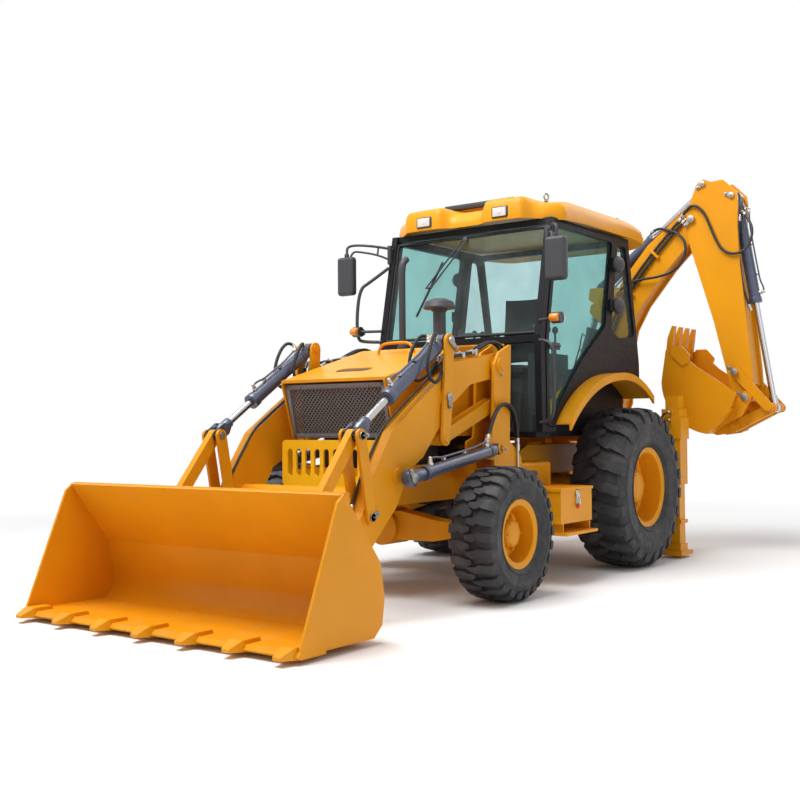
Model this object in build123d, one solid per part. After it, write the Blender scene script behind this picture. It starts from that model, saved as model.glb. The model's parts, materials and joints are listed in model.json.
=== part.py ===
"""Backhoe loader: one STEP file per sub-part, in millimetres.

+X points forward, +Y to the machine's left and +Z up. Every dimension below is taken from the rear axle (x = 0),
the machine's centre plane (y = 0) and the ground (z = 0). Each finished sub-part is then moved by SHIFT, which puts
the origin under the middle of the whole machine.
"""
from build123d import *
import math
import os

# ---- Driving dimensions ------------------------------------------------------------------------------------
WHEELBASE = 2100.0
SHIFT = Vector(-1343.0, -275.75, 0.0)

# Wheels: axle x, tyre radius, tyre width, middle plane y, rim radius, hub face distance from the middle plane
REAR_WHEEL = dict(x=0.0, radius=655.0, width=460.0, y=880.0, rim=325.0, hub=30.0)
FRONT_WHEEL = dict(x=WHEELBASE, radius=452.0, width=335.0, y=942.0, rim=232.0, hub=20.0)
KINGPIN_Y = 720.0

# Loader pins as (x, z)
ARM_PIVOT = (1672.0, 1601.0)
LEVER_MID = (2332.0, 1365.0)
LEVER_TOP = (2305.0, 1747.0)
LINK_DROP = (28.0, -278.0)
LEVEL_REAR = (ARM_PIVOT[0] + LINK_DROP[0], ARM_PIVOT[1] + LINK_DROP[1])
LEVEL_FRONT = (LEVER_MID[0] + LINK_DROP[0], LEVER_MID[1] + LINK_DROP[1])
NOSE_PIN = (3170.0, 624.0)
ROD_PIN = (3266.0, 1122.0)
HINGE_PIN = (3480.0, 244.0)
LUG_PIN = (ROD_PIN[0] + HINGE_PIN[0] - NOSE_PIN[0], ROD_PIN[1] + HINGE_PIN[1] - NOSE_PIN[1])
LIFT_REAR = (1827.0, 1008.0)
LIFT_FRONT = (2864.0, 850.0)

# Layers across one loader arm, as y from and to: the arm, and what stands on each side of it
ARM_Y = (550.0, 640.0)
LINK_INNER_Y, LINK_OUTER_Y = (520.0, 540.0), (650.0, 670.0)
LUG_INNER_Y, LUG_OUTER_Y = (515.0, 540.0), (650.0, 675.0)
TOWER_INNER_Y, TOWER_OUTER_Y = (508.0, 530.0), (660.0, 682.0)
ARM_MID_Y = (ARM_Y[0] + ARM_Y[1]) / 2
LIFT_Y = (705.0, 761.0)
PIN_PLAY = 0.5

BUCKET_HALF = 1137.5
SHEET = 12.0

# Cab and hood
CAB_HALF = 760.0
CAB_WALL = 55.0
CAB_FLOOR = 1120.0
CAB_TOP = 2765.0
HOOD_HALF = 458.0
HOOD_HINGE = (1300.0, 1770.0)
DOOR_HINGE_X = -55.0
DOOR_HINGE_Y = CAB_HALF + 20.0

# Backhoe, folded and swung to the left: the plane it lies in, its swing axis, and pins as (y, z)
HOE_X = -1450.0
SWING_Y = -420.0
BOOM_FOOT = (-80.0, 970.0)
ELBOW = (951.0, 3060.0)
DIPPER_TAIL = (1061.0, 3375.0)
BUCKET_RAM_BASE = (1330.0, 3235.0)
DIPPER_RAM_BASE = (-100.0, 2456.0)
BOOM_RAM_BASE = (-430.0, 1240.0)
BOOM_RAM_TIP = (-80.0, 2300.0)
TIPPING_PIN = (1353.0, 1631.0)
BUCKET_PIN = (1444.0, 1401.0)
OUTER_PIN = (1645.0, 1305.0)
EAR_PIN = (1306.0, 1135.0)
HOE_BUCKET_HALF = 300.0

# Stabilizers
STAB_X = -770.0
STAB_Y = 980.0


# ---- Drawing helpers ---------------------------------------------------------------------------------------
def side(u, v, w):
    """A point of a side view: u is x, v is z, and w is y."""
    return Vector(u, w, v)


def cross(u, v, w):
    """A point of a cross view: u is y, v is z, and w is x."""
    return Vector(w, u, v)


def plan(u, v, w):
    """A point of a plan view: u is x, v is y, and w is z."""
    return Vector(u, v, w)


def face_in(view, outline, w, radius=0.0):
    """Flat face with this outline at depth w, its corners rounded by radius."""
    wire = Wire.make_polygon([view(u, v, w) for u, v in outline], close=True)
    if radius:
        wire = wire.fillet_2d(radius, wire.vertices())
    return Face(wire)


def plate(view, outline, w_from, w_to, radius=0.0):
    """Plate with this outline, from one depth to another."""
    return Solid.extrude(face_in(view, outline, w_from, radius), view(0, 0, w_to) - view(0, 0, w_from))


def block(x, y, z):
    """Box between the pairs of x, y and z."""
    return plate(plan, [(x[0], y[0]), (x[1], y[0]), (x[1], y[1]), (x[0], y[1])], z[0], z[1])


def bar(start, end, radius):
    """Round bar between two points."""
    start, end = Vector(*start), Vector(*end)
    return Solid.make_cylinder(radius, (end - start).length, Plane(origin=start, z_dir=end - start))


def pin(view, centre, w_from, w_to, radius):
    """Round pin across a view."""
    return bar(view(*centre, w_from), view(*centre, w_to), radius)


def link(view, start, end, start_radius, end_radius, w_from, w_to):
    """Flat link with round ends about two pins."""
    run, rise = end[0] - start[0], end[1] - start[1]
    along = math.atan2(rise, run)
    lean = math.acos((start_radius - end_radius) / math.hypot(run, rise))

    def rim(centre, radius, angle):
        return view(centre[0] + radius * math.cos(angle), centre[1] + radius * math.sin(angle), w_from)

    near, far = (start, start_radius), (end, end_radius)
    wire = Wire([
        Edge.make_line(rim(*near, along + lean), rim(*far, along + lean)),
        Edge.make_three_point_arc(rim(*far, along + lean), rim(*far, along), rim(*far, along - lean)),
        Edge.make_line(rim(*far, along - lean), rim(*near, along - lean)),
        Edge.make_three_point_arc(rim(*near, along - lean), rim(*near, along + math.pi), rim(*near, along + lean)),
    ])
    return Solid.extrude(Face(wire), view(0, 0, w_to) - view(0, 0, w_from))


def arch_band(view, outline, thickness, w_from, w_to):
    """Sheet bent along two arcs that share the third of five points, thickened towards the chord."""
    first, last = Vector(*outline[0]), Vector(*outline[-1])
    below = Vector(first.Y - last.Y, last.X - first.X).normalized()
    shifts = [below * thickness if i in (1, 2, 3) else Vector(0, -thickness) for i in range(5)]
    outer = [view(*p, w_from) for p in outline]
    inner = [view(p[0] + d.X, p[1] + d.Y, w_from) for p, d in zip(outline, shifts)]
    wire = Wire([Edge.make_three_point_arc(*outer[:3]), Edge.make_three_point_arc(*outer[2:]),
                 Edge.make_line(outer[4], inner[4]), Edge.make_three_point_arc(*inner[4:1:-1]),
                 Edge.make_three_point_arc(*inner[2::-1]), Edge.make_line(inner[0], outer[0])])
    return Solid.extrude(Face(wire), view(0, 0, w_to) - view(0, 0, w_from))


def both_sides(solids):
    """The left-hand solids and their mirror images on the right."""
    solids = [s for shape in solids for s in shape.solids()]
    return solids + [s.mirror(Plane.XZ) for s in solids]


def fused(*shapes):
    """One shape joined from several."""
    return Part() + [s for shape in shapes for s in shape.solids()]


def turned_about_y(profile, x, z):
    """Solid turned about the line y at (x, z), from a profile of (radius, y)."""
    wire = Wire.make_polygon([Vector(x + r, y, z) for r, y in profile], close=True)
    return Solid.revolve(Face(wire), 360, Axis((x, 0, z), (0, 1, 0)))


def ram_points(view, base, tip, w, *distances):
    """Points along a hydraulic ram's axis, at distances from its base pin."""
    start, end = view(*base, w), view(*tip, w)
    along = (end - start).normalized()
    return [start + along * d for d in distances]


def barrel(view, base, tip, w_from, w_to, radius, bore, length, pin_radius):
    """Ram barrel open at its rod end, with a gland and a base eye bored for its pin."""
    w = (w_from + w_to) / 2
    eye = radius * 0.95
    root, foot, inside, gland, mouth = ram_points(view, base, tip, w, eye * 0.6, eye * 1.2, eye + 22, length - 55,
                                                  length)
    body = fused(bar(root, inside, radius * 0.6), bar(foot, mouth, radius), bar(gland, mouth, radius + 6),
                 pin(view, base, w_from, w_to, eye))
    eye_bore = pin(view, base, w_from - 5, w_to + 5, pin_radius + PIN_PLAY)
    return body - bar(inside, mouth + (mouth - gland), bore) - eye_bore


def piston_rod(view, base, tip, w_from, w_to, radius, start, eye):
    """Ram rod from its piston end, start from the base pin, to the eye on its tip pin."""
    w = (w_from + w_to) / 2
    length = (view(*tip, w) - view(*base, w)).length
    tail, neck, collar = ram_points(view, base, tip, w, start, length - eye * 0.7, length - eye - 70)
    return fused(bar(tail, neck, radius), bar(collar, neck, radius * 1.35), pin(view, tip, w_from, w_to, eye))


# ---- Wheels ------------------------------------------------------------------------------------------------
def tyre(wheel, hand):
    """Tyre with square shoulders and bulged walls, on the left (hand 1) or right (hand -1)."""
    r, half, rim = wheel["radius"], wheel["width"] / 2, wheel["rim"]
    section = [(rim, -half * 0.80), (rim + 45, -half * 0.97), (r * 0.80, -half), (r * 0.93, -half * 0.97),
               (r * 0.985, -half * 0.82), (r, -half * 0.45)]
    profile = section + [(radius, -y) for radius, y in reversed(section)]
    return turned_about_y([(radius, hand * wheel["y"] + y) for radius, y in profile], wheel["x"], wheel["radius"])


def rim(wheel, hand):
    """Rim with flanges, a dished disc and a hub."""
    half, r, face = wheel["width"] / 2, wheel["rim"], wheel["hub"]
    outline = [(0, face + 55), (r * 0.34, face + 55), (r * 0.38, face + 12), (r * 0.62, face + 12),
               (r * 0.80, face - 35), (r - 42, face - 20), (r - 42, half * 0.74), (r - 22, half * 0.80),
               (r, half * 0.80), (r, -half * 0.80),
               (r - 22, -half * 0.80), (r - 30, -half * 0.60), (r - 30, face - 62), (r * 0.80, face - 60),
               (r * 0.60, face - 12), (0, face - 12)]
    solid = turned_about_y([(radius, hand * (wheel["y"] + y)) for radius, y in outline], wheel["x"],
                           wheel["radius"])
    for i in range(8):
        angle = math.radians(45 * i + 22.5)
        u = wheel["x"] + r * 0.50 * math.cos(angle)
        v = wheel["radius"] + r * 0.50 * math.sin(angle)
        y = hand * (wheel["y"] + face + 12)
        solid = solid + bar(side(u, v, y - hand), side(u, v, y + hand * 22), r * 0.045)
    return solid


def knuckle(hand):
    """Steering knuckle: kingpin barrel between the axle's yoke ears, spindle and steering arm."""
    x, z = FRONT_WHEEL["x"], FRONT_WHEEL["radius"]
    body = fused(
        bar((x, hand * KINGPIN_Y, z - 78), (x, hand * KINGPIN_Y, z + 78), 58),
        bar((x, hand * KINGPIN_Y, z), (x, hand * 905, z), 62),
        link(plan, (x, hand * KINGPIN_Y), (x - 170, hand * (KINGPIN_Y - 15)), 36, 24, z - 14, z + 14))
    return body - bar((x, hand * KINGPIN_Y, z - 100), (x, hand * KINGPIN_Y, z + 100), 25.5)


# ---- Running gear and frame --------------------------------------------------------------------------------
def front_axle():
    """Steering axle beam with yokes, kingpins and its centre pivot."""
    x, z = FRONT_WHEEL["x"], FRONT_WHEEL["radius"]
    half = [(0, z - 85), (420, z - 80), (560, z - 55), (600, z - 55), (600, z + 55), (560, z + 55), (420, z + 70),
            (150, z + 120), (0, z + 120)]
    yoke = [block((x - 55, x + 55), (610, 775), (z + s * 86, z + s * 118)) for s in (-1, 1)]
    ears = [block((x - 40, x + 55), (590, 650), (z - 118, z + 118)),
            bar((x, KINGPIN_Y, z - 118), (x, KINGPIN_Y, z + 118), 25)]
    beam = plate(cross, half + [(-y, v) for y, v in reversed(half)], x - 70, x + 70)
    pivot = bar((x - 150, 0, z + 70), (x + 150, 0, z + 70), 60)
    diff = bar((x - 150, 0, z), (x + 110, 0, z), 125)
    return [fused(beam, pivot, diff, *both_sides(yoke + ears))]


def rear_axle():
    """Rigid drive axle with its differential housing, trumpets and hub flanges."""
    z = REAR_WHEEL["radius"]
    profile = [(0, 0), (195, 0), (190, 90), (120, 170), (95, 260), (88, 560), (130, 580), (130, 700), (105, 840),
               (0, 840)]
    half = turned_about_y(profile, 0, z)
    nose = bar((120, 0, z), (330, 0, z), 110)
    return [fused(half, half.mirror(Plane.XZ), nose)]


def axles():
    """Front and rear axles."""
    return front_axle() + rear_axle()


def chassis_frame():
    """Two side rails with cross members, and on each side the tower that carries a loader arm."""
    rail = [(-700, 770), (-700, 1010), (700, 1010), (950, 905), (2700, 905), (2700, 640), (900, 640), (620, 770)]
    tower = [(1530, 1765), (1690, 1700), (1762, 1612), (1775, 1330), (1800, 1090), (1890, 1060), (1895, 940),
             (1780, 930), (1770, 800), (1390, 800), (1395, 940), (1560, 1060)]
    lower, upper = TOWER_INNER_Y, TOWER_OUTER_Y
    half = [
        plate(side, rail, 300, 330),
        plate(side, tower, *lower, radius=12),
        plate(side, tower, *upper, radius=12),
        block((1548, 1580), (lower[1] - 2, upper[0] + 2), (950, 1700)),
        block((1400, 1770), (lower[0], upper[1]), (800, 830)),
        block((1400, 1770), (325, lower[0] + 2), (790, 900)),
        pin(side, ARM_PIVOT, lower[0] - 20, upper[1] + 22, 35),
        pin(side, LEVEL_REAR, lower[0] - 12, upper[1] + 16, 28),
        pin(side, LIFT_REAR, upper[0], LIFT_Y[1] + 17, 28),
        pin(side, LIFT_REAR, LIFT_Y[1] + 6, LIFT_Y[1] + 17, 40),
        pin(side, ARM_PIVOT, upper[1] - 1, upper[1] + 14, 62),
        pin(side, LEVEL_REAR, upper[1] - 1, upper[1] + 10, 50),
    ]
    members = [block((x, x + 40), (-305, 305), (z, z + h)) for x, z, h in
               [(-700, 780, 220), (640, 780, 120), (1440, 660, 230), (2560, 660, 230)]]
    bolster = block((1990, 2210), (-305, 305), (660, 720))
    return [fused(*both_sides(half), *members, bolster)]


def powertrain():
    """Engine and transmission as plain blocks at their real places, with the shafts to both axles."""
    return [block((1880, 2520), (-265, 265), (735, 1330)), block((760, 1420), (-240, 240), (560, 980)),
            bar((345, 0, 655), (750, 0, 690), 38), bar((1430, 60, 600), (1935, 0, 500), 34)]


def front_guard():
    """Slotted guard below the grille, bent back along its sides."""
    y, z0, z1 = 442, 769, 1085
    front = plate(cross, [(-y, z0), (y, z0), (y, z1), (-y, z1)], 2750, 2764, radius=30)
    for i in range(10):
        u = -369 + 82 * i
        slot = link(cross, (u, z0 + 95), (u, z1 - 85), 24, 24, 2740, 2775)
        front = front - slot
    returns = both_sides([block((2700, 2752), (y - 44, y - 32), (z0 + 34, z1 - 34))])
    return [fused(front, *returns, block((2700, 2716), (-(y - 30), y - 30), (z0 + 34, z0 + 110)))]


def grille():
    """Radiator grille: a leaning frame round a perforated panel."""
    lean = [(2626, 1097), (2650, 1097), (2738, 1466), (2714, 1466)]
    frame = plate(side, lean, -HOOD_HALF + 24, HOOD_HALF - 24)
    window = plate(side, [(2600, 1125), (2680, 1125), (2760, 1440), (2680, 1440)], -HOOD_HALF + 60, HOOD_HALF - 60)
    panel = plate(side, [(2628, 1115), (2640, 1115), (2722, 1450), (2710, 1450)], -HOOD_HALF + 50, HOOD_HALF - 50)
    return [fused(frame - window, panel)]


HOOD_SIDE = [(1245, 1100), (1245, 1795), (1850, 1750), (2755, 1500), (2755, 1470), (2640, 1100)]


def hood():
    """Engine hood, open below and in front, with its side panels."""
    outer = HOOD_SIDE
    inner = [(1261, 1080), (1261, 1778), (1848, 1733), (2738, 1487), (2790, 1460), (2680, 1080)]
    shell = plate(side, outer, -HOOD_HALF, HOOD_HALF) - plate(side, inner, -HOOD_HALF + 15, HOOD_HALF - 15)
    along_top = shell.edges().filter_by(lambda e: e.center().Z > 1480 and abs(abs(e.center().Y) - HOOD_HALF) < 1)
    shell = shell.fillet(14, [e for e in along_top if e.length > 400])
    vent = plate(plan, [(2450, -150), (2560, -150), (2560, 150), (2450, 150)], 1400, 1700, radius=52)
    hinges = both_sides([pin(side, HOOD_HINGE, 200, 300, 12)])
    return [fused(shell - vent, *hinges)]


def air_cleaner():
    """Air intake stack with its mushroom cap."""
    x, y = 1950, 340
    profile = [(0, 1680), (62, 1680), (62, 1745), (46, 1765), (46, 1990), (58, 1998), (58, 2012), (112, 2012),
               (116, 2024),
               (100, 2062), (55, 2084), (0, 2090)]
    wire = Wire.make_polygon([Vector(x + r, y, z) for r, z in profile], close=True)
    stack = Solid.revolve(Face(wire), 360, Axis((x, y, 0), (0, 0, 1)))
    return [stack - plate(side, HOOD_SIDE, -HOOD_HALF, HOOD_HALF)]


def tanks():
    """Fuel tank on the left and hydraulic tank on the right, each with a filler neck."""
    body = block((870, 1380), (345, 635), (480, 890))
    body = body.fillet(30, body.edges().filter_by(Axis.X))
    neck = bar((1310, 560, 880), (1310, 560, 945), 32)
    cap = bar((1310, 560, 945), (1310, 560, 985), 44)
    return both_sides([fused(body, neck, cap)])


def side_tanks():
    """Tanks, tool box, battery box and steps between the wheels."""
    return tanks() + side_boxes()


def side_boxes():
    """Tool box on the left and battery box on the right, each with a raised lid and a cab step under it."""
    body = block((900, 1390), (645, 1000), (455, 690))
    lid = block((892, 1398), (643, 1008), (690, 712))
    tread = block((900, 1390), (760, 1050), (372, 392))
    hangers = [block((x, x + 12), (770, 1000), (390, 457)) for x in (930, 1348)]
    return both_sides([fused(body, lid, tread, *hangers)])


FENDER_ARCH = [(1000, 1190), (620, 1470), (150, 1590), (-215, 1568), (-545, 1410)]


def rear_fenders():
    """Arched fenders over the rear wheels with a rolled outer lip."""
    bands = [arch_band(side, FENDER_ARCH, depth, *span) for depth, span in ((16, (600, 890)), (62, (872, 890)))]
    return both_sides([fused(*bands)])


def under_fenders(gap):
    """Space taken by the left rear fender and all that is below it, grown upwards by a gap."""
    points = [side(x, z + gap, 585) for x, z in FENDER_ARCH]
    low_rear, low_front = side(FENDER_ARCH[-1][0], 300, 585), side(FENDER_ARCH[0][0], 300, 585)
    wire = Wire([Edge.make_three_point_arc(*points[:3]), Edge.make_three_point_arc(*points[2:]),
                 Edge.make_line(points[4], low_rear), Edge.make_line(low_rear, low_front),
                 Edge.make_line(low_front, points[0])])
    return Solid.extrude(Face(wire), Vector(0, 400, 0))


# ---- Cab ---------------------------------------------------------------------------------------------------
DOOR_OUTLINE = [(1146, 1165), (1022, 1165), (905, 1325), (720, 1500), (540, 1655), (105, 1960), (-62, 2742),
                (972, 2742),
                (1150, 1850)]
QUARTER_GLASS = [(-130, 1900), (20, 1960), (-125, 2690), (-280, 2690), (-440, 1930)]


def inset(outline, amount):
    """An outline moved inwards by an amount, keeping its corners, or outwards if the amount is negative."""
    area = sum(x1 * y2 - x2 * y1 for (x1, y1), (x2, y2) in zip(outline, outline[1:] + outline[:1]))
    turn = 1 if area > 0 else -1
    moved = []
    for i, (x, y) in enumerate(outline):
        (px, py), (nx, ny) = outline[i - 1], outline[(i + 1) % len(outline)]
        a, b = math.dist((x, y), (px, py)), math.dist((x, y), (nx, ny))
        ux, uy, wx, wy = (x - px) / a, (y - py) / a, (nx - x) / b, (ny - y) / b
        shrink = amount * turn / (1 + ux * wx + uy * wy)
        moved.append((x - (uy + wy) * shrink, y + (ux + wx) * shrink))
    return moved


def cab_frame():
    """Cab shell: side walls cut for doors and windows, floor, front and rear cross members, inner wheelhouses."""
    wall = [(1215, CAB_FLOOR), (1226, 1852), (1036, CAB_TOP), (-330, CAB_TOP), (-525, 1700), (-535, CAB_FLOOR)]
    y0, y1 = CAB_HALF - CAB_WALL, CAB_HALF
    side_wall = plate(side, wall, y0, y1) - under_fenders(2)
    side_wall = side_wall - plate(side, inset(DOOR_OUTLINE, -6), y0 - 5, y1 + 5, radius=45)
    side_wall = side_wall - plate(side, QUARTER_GLASS, y0 - 5, y1 + 5, radius=40)
    tub = plate(side, [(-520, CAB_FLOOR - 5), (1010, CAB_FLOOR - 5), (1010, 1250), (640, 1560), (180, 1612),
                       (-520, 1612)], 560, 598)
    shelf = plate(side, [(-535, 1620), (-535, 1500), (500, 1500), (500, 1620)], 590, y0 + 5) - under_fenders(2)
    half = [side_wall, tub, shelf]
    cross_members = [
        block((-520, 1010), (-598, 598), (CAB_FLOOR - 40, CAB_FLOOR)),
        block((1005, 1215), (-y0 - 2, y0 + 2), (CAB_FLOOR - 40, CAB_FLOOR + 2)),
        block((1168, 1224), (-y0 - 2, y0 + 2), (1800, 1852)),
        block((1170, 1210), (-470, 470), (CAB_FLOOR - 2, 1802)),
        block((960, 1020), (-y0 - 2, y0 + 2), (CAB_TOP - 50, CAB_TOP)),
        block((-345, -285), (-y0 - 2, y0 + 2), (CAB_TOP - 50, CAB_TOP)),
        block((-535, -480), (-y0 - 2, y0 + 2), (1585, 1660)),
        block((-530, -490), (-600, 600), (CAB_FLOOR - 2, 1600)),
    ]
    return [fused(*both_sides(half), *cross_members)]


def cab_roof():
    """Roof cap with a swelling front, two lamp recesses under its brow and a hatch."""
    half = [(1075, 120), (1140, 290), (1145, 470), (1010, 720), (930, 800), (-560, 800), (-700, 540)]
    edge = half + [(x, -y) for x, y in reversed(half)]
    cap = plate(plan, edge, CAB_TOP, 2950, radius=130)
    top = cap.edges().filter_by(lambda e: e.center().Z > 2949)
    cap = cap.fillet(80, top)
    recess = [plate(cross, [(y - 190, 2700), (y + 190, 2700), (y + 130, 2905), (y - 130, 2905)], 1040, 1200)
              for y in (-380, 380)]
    hatch = block((150, 850), (-330, 330), (2945, 2985))
    return [fused(cap - recess[0] - recess[1], hatch)]


def cab_windows():
    """Fixed glass: windscreen, lower front corners, quarter windows and rear window."""
    y0 = CAB_HALF - CAB_WALL
    screen = plate(side, [(1196, 1856), (1202, 1856), (1014, 2712), (1008, 2712)], -y0 + 2, y0 - 2)
    corner = block((1186, 1192), (476, y0 - 4), (CAB_FLOOR + 4, 1796))
    quarter = plate(side, inset(QUARTER_GLASS, 1.5), CAB_HALF - 25, CAB_HALF - 19, radius=39)
    rear = plate(side, [(-502, 1664), (-496, 1664), (-318, 2712), (-324, 2712)], -y0 + 2, y0 - 2)
    return [screen, rear] + both_sides([corner, quarter])


def door(hand):
    """Door frame with rounded corners and two hinge covers at its rear edge."""
    y0, y1 = CAB_HALF - 40, CAB_HALF + 6
    frame = plate(side, DOOR_OUTLINE, y0, y1, radius=40)
    frame = frame - plate(side, inset(DOOR_OUTLINE, 42), y0 - 5, y1 + 5, radius=30)
    for z, reach in ((2470, 100), (2120, 150)):
        cover = block((DOOR_HINGE_X, DOOR_HINGE_X + reach), (y1 - 1, DOOR_HINGE_Y + 14), (z, z + 90))
        hinge = bar((DOOR_HINGE_X, DOOR_HINGE_Y, z - 12), (DOOR_HINGE_X, DOOR_HINGE_Y, z + 102), 11)
        frame = fused(frame, cover, hinge)
    return frame if hand > 0 else frame.mirror(Plane.XZ)


def door_glass(hand):
    """Pane filling a door frame."""
    pane = plate(side, inset(DOOR_OUTLINE, 43), CAB_HALF - 20, CAB_HALF - 14, radius=29)
    return pane if hand > 0 else pane.mirror(Plane.XZ)


def operator_seat():
    """Seat cushion and backrest."""
    cushion = block((120, 600), (-240, 240), (1560, 1690))
    cushion = cushion.fillet(40, cushion.edges())
    back = plate(side, [(100, 1700), (220, 1700), (120, 2280), (20, 2280)], -225, 225)
    back = back.fillet(35, back.edges())
    return [cushion, back]


def cab_controls():
    """Seat pedestal, steering column with its wheel, and lever consoles."""
    pedestal = fused(block((180, 540), (-180, 180), (CAB_FLOOR, 1440)),
                     block((140, 580), (-220, 220), (1440, 1555)))
    column = bar((1056, 0, CAB_FLOOR + 15), (880, 0, 1790), 45)
    wheel = Solid.make_torus(190, 15, Plane((862, 0, 1850), z_dir=(-0.28, 0, 1)))
    spoke = block((850, 874), (-190, 190), (1842, 1858))
    stem = bar((885, 0, 1770), (862, 0, 1855), 24)
    lever_base = both_sides([block((150, 620), (300, 420), (CAB_FLOOR, 1760))])
    return [pedestal, fused(column, stem, spoke, wheel)] + lever_base


def mirror(hand, y, z):
    """One mirror head on its ladder arm; y is the head's middle, z its top."""
    head = block((1255, 1330), (y - 85, y + 85), (z - 325, z))
    head = head.fillet(28, head.edges())
    corner, drop = (1290, y, z + 85), (1290, y, z - 20)
    upper, lower = (1065, 735, 2640), (1100, 735, 2520)
    low_corner = (1290, y - 45, z + 60)
    rods = [bar(upper, corner, 12), bar(corner, drop, 12), bar(lower, low_corner, 12), bar(low_corner, drop, 12)]
    middle = [tuple((a + b) / 2 for a, b in zip(*ends)) for ends in ((upper, corner), (lower, low_corner))]
    shape = fused(head, *rods, bar(*middle, 10))
    return shape if hand > 0 else shape.mirror(Plane.XZ)


def mirrors():
    """Door mirrors on their arms, the right one standing further out, and the side lamps on their stalks."""
    lamp = fused(bar((1215, 745, 1960), (1300, 930, 1960), 12), bar((1295, 900, 1960), (1295, 975, 1960), 42))
    return [mirror(1, 935, 2560), mirror(-1, 1050, 2597)] + [fused(s) for s in both_sides([lamp])]


# ---- Loader ------------------------------------------------------------------------------------------------
ARM_OUTLINE = [(1600, 1570), (1640, 1668), (1700, 1686), (2226, 1606), (2400, 1478), (2672, 1307), (2931, 1138),
               (3128, 862), (3222, 655), (3535, 290), (3545, 200), (3440, 165), (3144, 430), (2887, 664),
               (2742, 893),
               (2591, 970), (2460, 1105), (2248, 1318), (2017, 1458), (1659, 1522)]


def loader_arms():
    """Cranked arms from the towers to the bucket, joined by a cross tube."""
    arm = plate(side, ARM_OUTLINE, *ARM_Y, radius=18)
    bosses = [pin(side, at, ARM_Y[0] - 8, ARM_Y[1] + 8, r) for at, r in
              [(ARM_PIVOT, 72), (LEVER_MID, 62), (NOSE_PIN, 44), (HINGE_PIN, 62)]]
    arm = fused(arm, *bosses)
    for at, r in [(ARM_PIVOT, 35), (LEVER_MID, 30), (NOSE_PIN, 26), (HINGE_PIN, 30)]:
        arm = arm - pin(side, at, ARM_Y[0] - 30, ARM_Y[1] + 30, r + PIN_PLAY)
    stub = fused(pin(side, LIFT_FRONT, ARM_Y[1] - 5, ARM_Y[1] + 20, 62))
    tube = pin(side, (3010, 720), -ARM_Y[0] - 5, ARM_Y[0] + 5, 70)
    return [fused(*both_sides([arm, stub]), tube)]


def lift_barrels():
    """Lift ram barrels, pinned to the towers."""
    return both_sides([barrel(side, LIFT_REAR, LIFT_FRONT, *LIFT_Y, 42, 31, 900, 28)])


def lift_rods():
    """Lift ram rods, ending beside the arms."""
    return both_sides([piston_rod(side, LIFT_REAR, LIFT_FRONT, *LIFT_Y, 29, 92, 44)])


def tilt_levers():
    """Twin levers straddling each arm, with the pins at their ends and middle."""
    plates = []
    for y0, y1 in (LINK_INNER_Y, LINK_OUTER_Y):
        plates += [link(side, LEVER_TOP, LEVER_MID, 48, 52, y0, y1),
                   link(side, LEVER_MID, LEVEL_FRONT, 52, 46, y0, y1)]
    pins = [pin(side, at, LINK_INNER_Y[0] - 8, LINK_OUTER_Y[1] + 10, r) for at, r in
            [(LEVER_MID, 30), (LEVEL_FRONT, 26)]]
    return both_sides([fused(*plates, *pins) - pin(side, LEVER_TOP, 450, 750, 28 + PIN_PLAY)])


def level_links():
    """Long links that keep the levers upright, between tower and lever."""
    body = link(side, LEVEL_REAR, LEVEL_FRONT, 48, 44, ARM_Y[0] + 5, ARM_Y[1] - 5)
    body = body - pin(side, LEVEL_REAR, 500, 700, 28 + PIN_PLAY) - pin(side, LEVEL_FRONT, 500, 700, 26 + PIN_PLAY)
    return both_sides([body])


def lever_pins():
    """Pins that hang the tilt rams from the levers."""
    return both_sides([pin(side, LEVER_TOP, LINK_INNER_Y[0] - 8, LINK_OUTER_Y[1] + 10, 28)])


def tilt_barrels():
    """Tilt ram barrels, hung from the levers."""
    return both_sides([barrel(side, LEVER_TOP, ROD_PIN, ARM_Y[0] + 8, ARM_Y[1] - 8, 48, 27, 730, 28)])


def tilt_rods():
    """Tilt ram rods, ending in forks about the bucket links."""
    fork = (ARM_Y[0] - 2, ARM_Y[1] + 2)
    body = fused(*piston_rod(side, LEVER_TOP, ROD_PIN, *fork, 25, 330, 40).solids())
    slot = pin(side, ROD_PIN, ARM_MID_Y - 32, ARM_MID_Y + 32, 62)
    return both_sides([body - slot])


def nose_pins():
    """Pins through the noses of the arms."""
    return both_sides([pin(side, NOSE_PIN, LINK_INNER_Y[0] - 8, LINK_OUTER_Y[1] + 10, 26)])


def rod_pins():
    """Pins at the tops of the tilt links, one stub in each link so that the ram's fork is free between them."""
    return both_sides([pin(side, ROD_PIN, LINK_INNER_Y[0] - 8, LINK_INNER_Y[1] + 1, 24),
                       pin(side, ROD_PIN, LINK_OUTER_Y[0] - 1, LINK_OUTER_Y[1] + 10, 24)])


def hinge_pins():
    """Bucket hinge pins through the arm tips."""
    return both_sides([pin(side, HINGE_PIN, LUG_INNER_Y[0] - 8, LUG_OUTER_Y[1] + 10, 30)])


def tilt_links():
    """Twin links from the arm noses up to the ram forks."""
    plates = []
    for y0, y1 in (LINK_INNER_Y, LINK_OUTER_Y):
        body = link(side, NOSE_PIN, ROD_PIN, 42, 42, y0, y1)
        body = body - pin(side, NOSE_PIN, y0 - 5, y1 + 5, 26 + PIN_PLAY)
        plates.append(body - pin(side, ROD_PIN, y0 - 5, y1 + 5, 24 + PIN_PLAY))
    return both_sides(plates)


def bucket_links():
    """Links from the ram forks down to the bucket lugs."""
    y0, y1 = ARM_MID_Y - 25, ARM_MID_Y + 25
    body = link(side, ROD_PIN, LUG_PIN, 40, 40, y0, y1)
    return both_sides([body - pin(side, LUG_PIN, y0 - 5, y1 + 5, 24 + PIN_PLAY)])


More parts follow.
